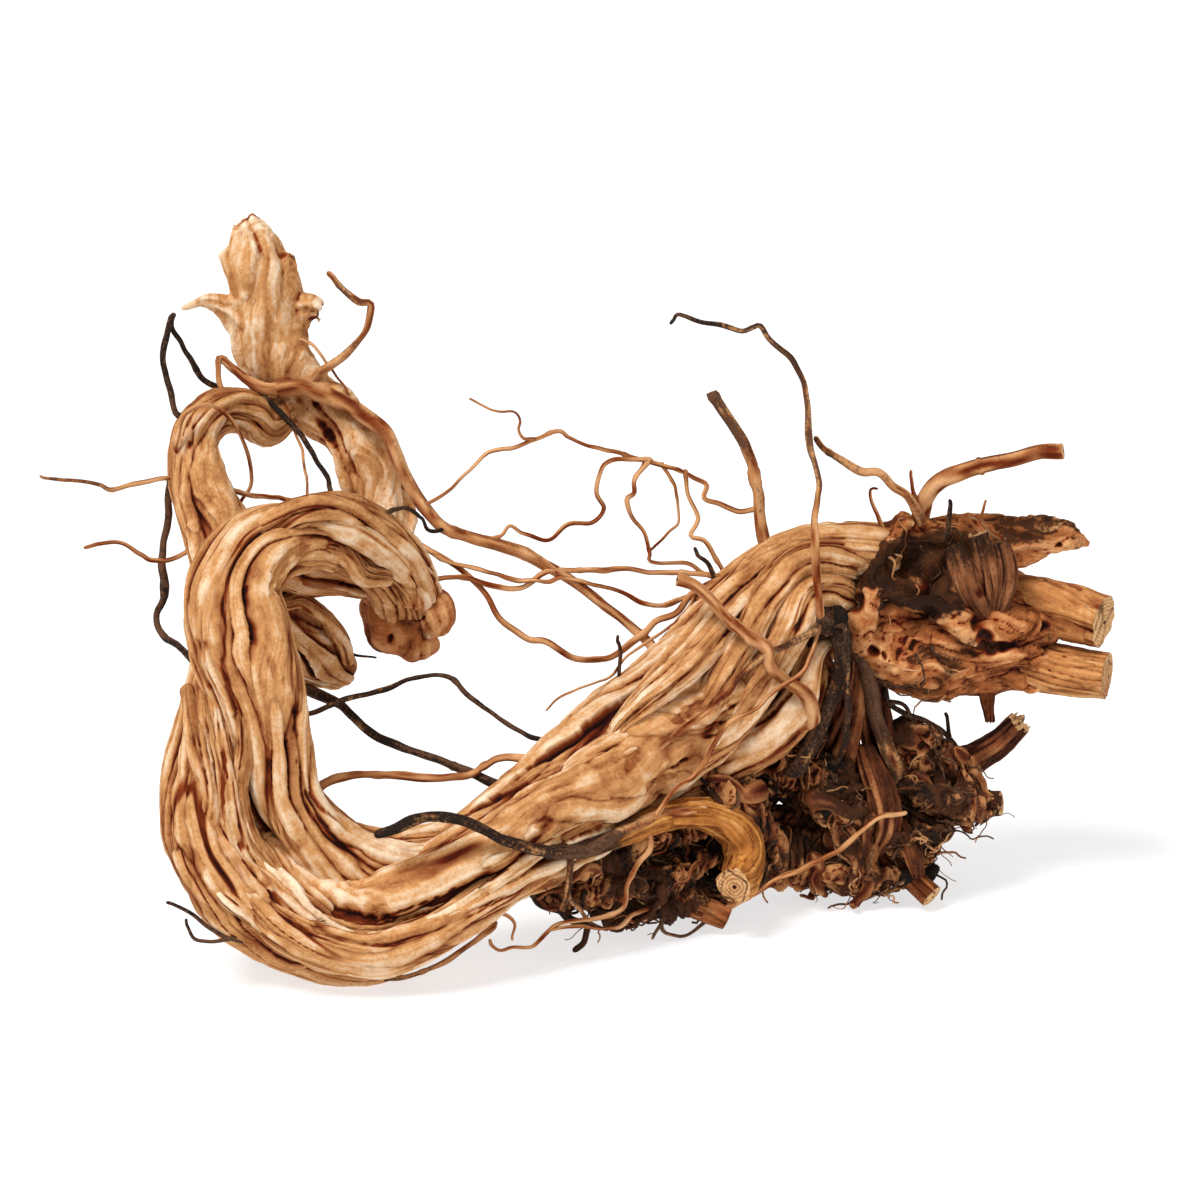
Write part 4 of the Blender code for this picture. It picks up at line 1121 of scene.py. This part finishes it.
thinLook = {
    "spacing": 1.7,
    "columns": 10,
    "kink": 0.35,                    # how far a root strays from its line
    "swell": 0.16,
    "cutRadius": 2.4,                # thicker and lighter ends are sawn off
    "cutDark": 0.9,
}
darkRoots = {                        # how dark a root is where it starts and where it ends
    "tall_whip": (0.1, 0.9), "banded_stub": (0.3, 0.5), "forked_root": (0.2, 0.7), "dark_peg": (0.9, 0.9),
    "black_spur": (1, 1), "black_fork": (0.9, 0.9), "dark_arc": (0.6, 0.9), "dark_tip": (0.9, 0.9),
    "front_root": (0.25, 1.0), "ear_root": (0.8, 0.8), "black_right": (1, 1), "black_prong": (1, 1),
    "black_stud": (1, 1), "pillar_front": (0.75, 0.75), "pillar_back": (0.5, 0.6), "pillar_thin": (0.8, 0.8),
    "bend_vein": (0.4, 0.6), "left_whisker": (0.8, 1), "left_fork": (1, 1), "dark_drop": (0.8, 0.9),
    "v_left": (0.9, 0.8), "v_right": (0.7, 1), "inner_dark": (0.9, 0.9), "hook_whisker": (0.8, 0.9),
    "purple_root": (0.6, 0.45), "top_curl": (0.2, 0.5), "far_left_root": (0.2, 0.6),
    "sawn_branch": (0.1, 0.3),
    "hanging_root": (0.5, 0.6), "hanging_wisp": (0.6, 0.6), "foot_loop": (0.5, 0.5), "foot_fork": (0.6, 0.6),
}


def thinRoot(startRadius, endRadius, points, seed, dark=(0, 0), look=thinLook):
    along, line = route(tapered(startRadius, endRadius, points), look["spacing"])
    centre, radius = line[:, :3].copy(), line[:, 3]
    column = np.stack([along, np.full_like(along, seed * 1.7), np.zeros_like(along)], axis=1)
    wave = 6 + 4 * startRadius
    for axis in range(3):
        stray = bumps(column, (wave, 1, 1), 200 + axis) + 0.4 * bumps(column, (wave / 2, 1, 1), 210 + axis)
        centre[1:-1, axis] += (look["kink"] * (radius**0.6 + 0.8) * stray)[1:-1]
    buds = soft(bumps(column, (5, 1, 1), 221), 0.6, 0.9)
    swell = 1 + look["swell"] * bumps(column, (wave, 1, 1), 220) + 0.25 * buds
    flare = 1 + 0.35 * np.exp(-along / (2.5 * startRadius))
    side, up, forward = crossFrames(centre)
    angle = np.linspace(0, turn, look["columns"] + 1)[None] + np.zeros((len(along), 1))
    s = along[:, None] + 0 * angle
    ridges = bumps(onCylinder(radius[:, None], angle, s), (1.3, 1.3, 9), 230 + seed)
    share = (along / along[-1])[:, None]
    sheet = {
        "places": sheetAt(centre, side, up, (radius * swell * flare)[:, None] * (1 + 0.16 * ridges), angle),
        # painted shade between the bark's ridges
        "cavity": np.clip(0.25 - 0.5 * ridges, 0, 1) * 0.7,
        "tone": np.clip(0.5 + 0.4 * ridges, 0, 1),
        "dirt": dark[0] + (dark[1] - dark[0]) * share + 0 * s,
        "sawn": 0 * s,
        "grain": np.stack([angle * radius[:, None], s, 0 * s + seed], axis=-1) / 1000,
    }
    cut = endRadius > look["cutRadius"] and dark[1] < look["cutDark"]
    return closeEnds(sheet, forward, "point", "sawn" if cut else "point")


rootSheets = []
for k, (name, (startRadius, endRadius, points)) in enumerate(thinRoots.items()):
    rootSheets.append(thinRoot(startRadius, endRadius, points, k, darkRoots.get(name, (0, 0))))
rootPiece = rolledSheet("long_roots", rootSheets)
print("long roots drawn", len(rootPiece.data.polygons))


# A tangle: short roots that creep over the crown and let go of it at their ends.

def burlFlow(place):                         # the way roots run at a place: down and out
    if place[0] < 105:
        return np.array([-0.9, -0.2, -0.55])
    return np.array([0.35 if place[0] > 150 else 0.0, -0.15, -1.0])


def upperFlow(place):
    return np.array([0.2, 0.0, -0.8])


cordLook = {
    "seed": 301,
    "count": 85,
    "radius": (1.5, 4.6),
    "taper": (0.15, 0.5),            # a root's last radius, as a share of its first
    "steps": (9, 22),
    "stride": 4.5,
    "seat": 0.1,                     # how high it lies on the wood, in its own radii
    "stray": 0.35,
    "free": 0.12,                    # the share of roots whose ends let go
    "dark": (0.0, 0.95),
    "columns": 12,
    "spacing": 1.8,
    "kink": 0.4,
    "flow": burlFlow,
    "from": lambda p: p[:, 2] > 10,
}
hairLook = {
    "seed": 401,
    "count": 400,
    "radius": (0.4, 1.1),
    "taper": (0.35, 0.8),
    "steps": (8, 24),
    "stride": 3.2,
    "seat": 0.8,
    "stray": 0.5,
    "free": 0.5,
    "dark": (0.3, 1.0),
    "columns": 7,
    "spacing": 2.0,
    "kink": 0.5,
    "flow": burlFlow,
    "from": lambda p: p[:, 2] > 6,
}
upperLook = {
    **hairLook,
    "seed": 501,
    "count": 46,
    "radius": (0.4, 0.8),
    "steps": (5, 12),
    "dark": (0.1, 0.9),
    "flow": upperFlow,
    "from": lambda p: (p[:, 0] < 190) & (p[:, 1] < 100),
}


def creepers(piece, look):
    seed = look["seed"]
    tree = BVHTree.FromObject(piece, bpy.context.evaluated_depsgraph_get())
    p, n = meshArrays(piece)
    draw = np.random.default_rng(seed)
    allowed = np.where(look["from"](p))[0]
    thin, thick = look["radius"]
    shape = {**thinLook, "columns": look["columns"], "spacing": look["spacing"], "kink": look["kink"]}
    sheets = []
    for k in range(look["count"]):
        at = draw.choice(allowed)
        place, normal = p[at].copy(), n[at]
        heading = draw.normal(size=3) * 0.7 + look["flow"](place)
        radius = thin + (thick - thin) * draw.random() ** 1.7
        free = draw.random() < look["free"]
        steps = int(draw.uniform(*look["steps"]))
        points = []
        for step in range(steps):
            loose = free and step > 0.6 * steps
            heading = heading - normal * heading.dot(normal) * (0.1 if loose else 0.9)
            heading = heading / np.linalg.norm(heading)
            place = place + heading * look["stride"]
            hit, facing, _, _ = tree.find_nearest(Vector((place - baseCentre) / 1000))
            normal = np.array(facing)
            if not loose:
                seat = np.array(hit) * 1000 + baseCentre + normal * radius * look["seat"]
                place = 0.4 * place + 0.6 * seat
            place[2] = max(place[2], 1.2 + radius)
            points.append(tuple(place))
            heading = heading + draw.normal(size=3) * look["stray"] + 0.25 * look["flow"](place)
        dark = draw.uniform(*look["dark"])
        if len(points) > 4:
            last = radius * draw.uniform(*look["taper"])
            sheets.append(thinRoot(radius, last, points, seed + k, (dark, dark), shape))
    return sheets


cordPiece = rolledSheet("knitted_roots", creepers(burlPiece, cordLook))
hairPiece = rolledSheet("fine_roots", creepers(burlPiece, hairLook) + creepers(crownPiece, upperLook))
print("tangle grown", len(cordPiece.data.polygons), len(hairPiece.data.polygons))


# Materials: sums on sockets are written as plain expressions.

class Signal:                                # a number or colour that comes out of a node
    def __init__(self, maker, socket):
        self.maker, self.socket = maker, socket

    def sum(self, operation, *terms):
        return self.maker.node("ShaderNodeMath", {"operation": operation}, dict(enumerate(terms)))

    def __add__(self, other):
        return self.sum("ADD", self, other)

    def __sub__(self, other):
        return self.sum("SUBTRACT", self, other)

    def __rsub__(self, other):
        return self.sum("SUBTRACT", other, self)

    def __mul__(self, other):
        return self.sum("MULTIPLY", self, other)

    __radd__ = __add__
    __rmul__ = __mul__


class Finish:                                # one material and the nodes in it
    def __init__(self, name):
        self.material = bpy.data.materials.new(name)
        self.material.use_nodes = True
        self.tree = self.material.node_tree
        self.shader = self.tree.nodes["Principled BSDF"]

    def node(self, kind, settings, inputs, output=0):
        made = self.tree.nodes.new(kind)
        for key, value in settings.items():
            if key == "stops":
                ramp = made.color_ramp
                while len(ramp.elements) < len(value):
                    ramp.elements.new(1.0)
                for element, (position, colour) in zip(ramp.elements, value):
                    element.position = position
                    element.color = colour
            else:
                setattr(made, key, value)
        for key, value in inputs.items():
            self.join(value, made.inputs[key])
        return Signal(self, made.outputs[output])

    def join(self, value, socket):
        if isinstance(value, Signal):
            self.tree.links.new(value.socket, socket)
        else:
            socket.default_value = value

    def finish(self, **values):              # sets or links the shader's own sockets, with _ for a space
        for key, value in values.items():
            self.join(value, self.shader.inputs[key.replace("_", " ")])

    def attribute(self, name, output="Fac"):
        return self.node("ShaderNodeAttribute", {"attribute_name": name}, {}, output)

    def stretched(self, vector, scale):
        return self.node("ShaderNodeVectorMath", {"operation": "MULTIPLY"}, {0: vector, 1: scale})

    def noise(self, vector, scale, detail=3.0, roughness=0.55):
        inputs = {"Vector": vector, "Scale": scale, "Detail": detail, "Roughness": roughness}
        return self.node("ShaderNodeTexNoise", {}, inputs)

    def between(self, value, low, high):     # 0 at low, 1 at high
        settings = {"interpolation_type": "SMOOTHSTEP", "clamp": True}
        inputs = {"Value": value, "From Min": low, "From Max": high}
        return self.node("ShaderNodeMapRange", settings, inputs)

    def ramp(self, value, *stops):
        return self.node("ShaderNodeValToRGB", {"stops": stops}, {0: value})

    def mix(self, share, first, second, blend="MIX"):
        settings = {"data_type": "RGBA", "blend_type": blend}
        return self.node("ShaderNodeMix", settings, {0: share, 6: first, 7: second}, 2)


def colour(code):                            # a screen colour such as "c98d5a", as the shader's linear values
    parts = [int(code[k : k + 2], 16) / 255 for k in (0, 2, 4)]
    return (*(c / 12.92 if c < 0.04045 else ((c + 0.055) / 1.055) ** 2.4 for c in parts), 1.0)


woodLook = {
    "deep": "8a4c25",
    "middle": "cb935c",
    "pale": "f3dcbc",
    # the colours of painted shade in creases; crease also colours the pith
    "crease": "33130a",
    "halfShade": "a9653c",
    "soot": "17100b",
    "grime": "5a3b28",
    "cutDark": "9a6136",
    "cutPale": "dfb27e",
    "dull": 0.0,                     # how much lower the wood's lightness is
    "bump": 0.9,
    "bumpDepth": 0.0008,             # metres
    "gloss": 0.12,
    "fibres": (1100, 24, 300),       # to a metre across the grain, along it, and from strand to strand
    "streaks": (240, 8, 60),
    "patches": 24.0,
    "specks": 520.0,
    "rings": 3300.0,
    "pith": (0.0014, 0.0008),        # the dark dot in the middle of the rings, in metres
}


def drift(signal, gain):                     # a noise around nought, made stronger
    return (signal - 0.5) * gain


def wood(name, changes={}):
    look = {**woodLook, **changes}
    look.update({key: colour(code) for key, code in look.items() if isinstance(code, str)})
    make = Finish(name)
    grain = make.attribute("grain", "Vector")
    place = make.node("ShaderNodeTexCoord", {}, {}, "Object")
    cavity, tone, dirt, sawn = (make.attribute(key) for key in sheetValues)
    fibres = make.noise(make.stretched(grain, look["fibres"]), 1.0, 4.0, 0.65)
    streaks = make.noise(make.stretched(grain, look["streaks"]), 1.0, 4.0, 0.6)
    patches = make.noise(place, look["patches"], 4.0, 0.6)
    specks = make.noise(place, look["specks"], 3.0, 0.6)

    # Weathered wood, with painted shade in its creases, grooves, cracks and holes.
    lightness = tone * 0.85 + drift(streaks, 0.6) + drift(fibres, 0.55)
    lightness = lightness + drift(patches, 1.0) + drift(specks, 0.6) + (0.12 - look["dull"])
    body = make.ramp(lightness, (0.0, look["deep"]), (0.42, look["middle"]), (0.9, look["pale"]))
    shade = cavity + drift(fibres, 0.55) + drift(specks, 0.4)
    shade = make.ramp(shade, (0.06, colour("ffffff")), (0.38, look["halfShade"]), (0.85, look["crease"]))
    body = make.mix(1.0, body, shade, "MULTIPLY")

    # Dirt and soot; the soot also gathers where the painted shade is, which darkens creases further.
    sootiness = make.between(patches + drift(streaks, 0.8) + drift(specks, 0.6), 0.42, 0.66)
    black = make.mix(sootiness, look["soot"], look["grime"])
    grime = dirt + drift(specks, 0.7) + drift(patches, 1.6) + drift(streaks, 0.8) + cavity * 0.25
    body = make.mix(make.between(grime, 0.38, 0.72), body, black)

    # Cut faces: worn rings, splits darkened with painted shade, and a pith.
    flat = make.stretched(grain, (1, 1, 0))
    radius = make.node("ShaderNodeVectorMath", {"operation": "LENGTH"}, {0: flat}, 1)
    ring = make.noise(flat, 170.0, 3.0) * 11.0 + radius * look["rings"]
    ring = make.node("ShaderNodeMath", {"operation": "SINE"}, {0: ring}) * 0.5 + 0.5
    worn = make.between(ring * 0.5 + drift(patches, 2.2) + drift(specks, 1.4) + 0.35, 0.1, 1.3)
    ringed = make.mix(worn, look["cutPale"], look["cutDark"])
    ringed = make.mix(cavity * 0.8, ringed, look["crease"])
    ringed = make.mix(make.between(radius, *look["pith"]), ringed, look["crease"])
    body = make.mix(make.between(sawn, 0.3, 0.7), body, ringed)

    height = fibres * 0.8 + specks * 0.35
    bump = {"Strength": look["bump"], "Distance": look["bumpDepth"], "Height": height}
    make.finish(Base_Color=body, Roughness=0.92 - 0.25 * fibres, Normal=make.node("ShaderNodeBump", {}, bump),
                Specular_IOR_Level=look["gloss"])
    return make.material


finishes = {
    "bare": wood("bare wood"),
    "crown": wood("crown wood", {"deep": "5e2e13", "middle": "ad6637", "pale": "e3ab74",
                                 "soot": "28150b", "grime": "4a2812", "dull": 0.14}),
    "cut": wood("cut wood", {"deep": "8a4f28", "middle": "c4854d", "pale": "ecc592", "grime": "4c2c18"}),
    "burl": wood("earthy wood", {"deep": "3a1b0c", "middle": "784123", "pale": "c58a56",
                                 "crease": "200c06", "grime": "452614", "dull": 0.1}),
    "amber": wood("amber wood", {"deep": "7d4218", "middle": "c4803c", "pale": "f3c27c", "crease": "2c1206"}),
    "core": wood("old core", {"deep": "4a2814", "middle": "885433", "pale": "bd8d63",
                              "crease": "260f06", "grime": "3c2011"}),
    "root": wood("root bark", {"deep": "7c4826", "middle": "b67c4a", "pale": "dca877",
                               "crease": "4a2712", "soot": "231812", "grime": "61422f"}),
}
finishedWith = {                     # all other pieces are bare wood
    "crown": ("crown", "head", "drip", "sawn_foot", "low_cut"),
    "cut": ("sawn_upper", "sawn_lower"),
    "burl": ("lower_crown", "knitted_roots", "torn", "hollow", "rear_foot", "pillar_two", "pillar_three",
             "belly_two", "nub"),
    "amber": ("amber",),
    "core": ("core_left", "core_middle", "core_right"),
    "root": ("fine_roots", "long_roots"),
}
finishOf = {name: finish for finish, names in finishedWith.items() for name in names}
pieces = [*stemPieces.values(), backPiece, headPiece, *ropePieces.values(), crownPiece, burlPiece,
          *stubPieces.values(), rootPiece, cordPiece, hairPiece]
for piece in pieces:
    piece.data.materials.clear()
    piece.data.materials.append(finishes[finishOf.get(piece.name, "bare")])
    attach(piece, "root")
    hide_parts("dry_root")
print("pieces finished", len(pieces))


# Floor, light and camera.

studio = {
    "elevation": 17,                 # degrees that the camera looks down
    "distance": 3.333,               # metres, as all lengths here but the aim
    "lens": 200,
    "aim": (8.4, -47.0, 188.9),      # millimetres from the origin
    "floorSize": 14,
    "floorDrop": 0.0002,
    "floorColour": 0.45,
    "floorGlow": 0.66,
    "sunPower": 3.0,
    "sunWidth": 24,                  # degrees, so shadows have soft edges
    "sunWay": (0.42, 0.5, -1),
    "fillPlace": (1.6, -1.2, 0.9),
    "fillSize": 1.4,
    "fillPower": 9,
    "fillTarget": (0, 0, 0.15),
    "sky": 0.4,
}


def floor():
    bpy.ops.mesh.primitive_plane_add(size=studio["floorSize"], location=(0, 0, -studio["floorDrop"]))
    plane = bpy.context.object
    plane.name = "floor"
    make = Finish("white floor")
    make.finish(Base_Color=(*[studio["floorColour"]] * 3, 1), Roughness=0.9, Emission_Color=(1, 1, 1, 1),
                Emission_Strength=studio["floorGlow"])
    plane.data.materials.append(make.material)
    plane.select_set(False)


def lamp(name, kind, place, way, **settings):
    bpy.ops.object.light_add(type=kind, location=place)
    light = bpy.context.object
    light.name = name
    for key, value in settings.items():
        setattr(light.data, key, value)
    light.rotation_euler = Vector(way).to_track_quat("-Z", "Y").to_euler()
    light.select_set(False)


def sky():
    world = bpy.data.worlds.new("studio")
    world.use_nodes = True
    world.node_tree.nodes["Background"].inputs["Color"].default_value = (1, 1, 1, 1)
    world.node_tree.nodes["Background"].inputs["Strength"].default_value = studio["sky"]
    bpy.context.scene.world = world


def camera():
    tilt = math.radians(studio["elevation"])
    aim = Vector(studio["aim"]) / 1000
    away = Vector((0, -math.cos(tilt), math.sin(tilt))) * studio["distance"]
    bpy.ops.object.camera_add(location=aim + away)
    view = bpy.context.object
    view.data.lens = studio["lens"]
    view.data.sensor_width = 36
    view.rotation_euler = (-away).to_track_quat("-Z", "Y").to_euler()
    bpy.context.scene.camera = view


floor()
lamp("key", "SUN", (0, 0, 2), studio["sunWay"],
     energy=studio["sunPower"], angle=math.radians(studio["sunWidth"]))
lamp("fill", "AREA", studio["fillPlace"], Vector(studio["fillTarget"]) - Vector(studio["fillPlace"]),
     size=studio["fillSize"], energy=studio["fillPower"])
sky()
bpy.context.scene.view_settings.view_transform = "Standard"
camera()
print("studio ready")
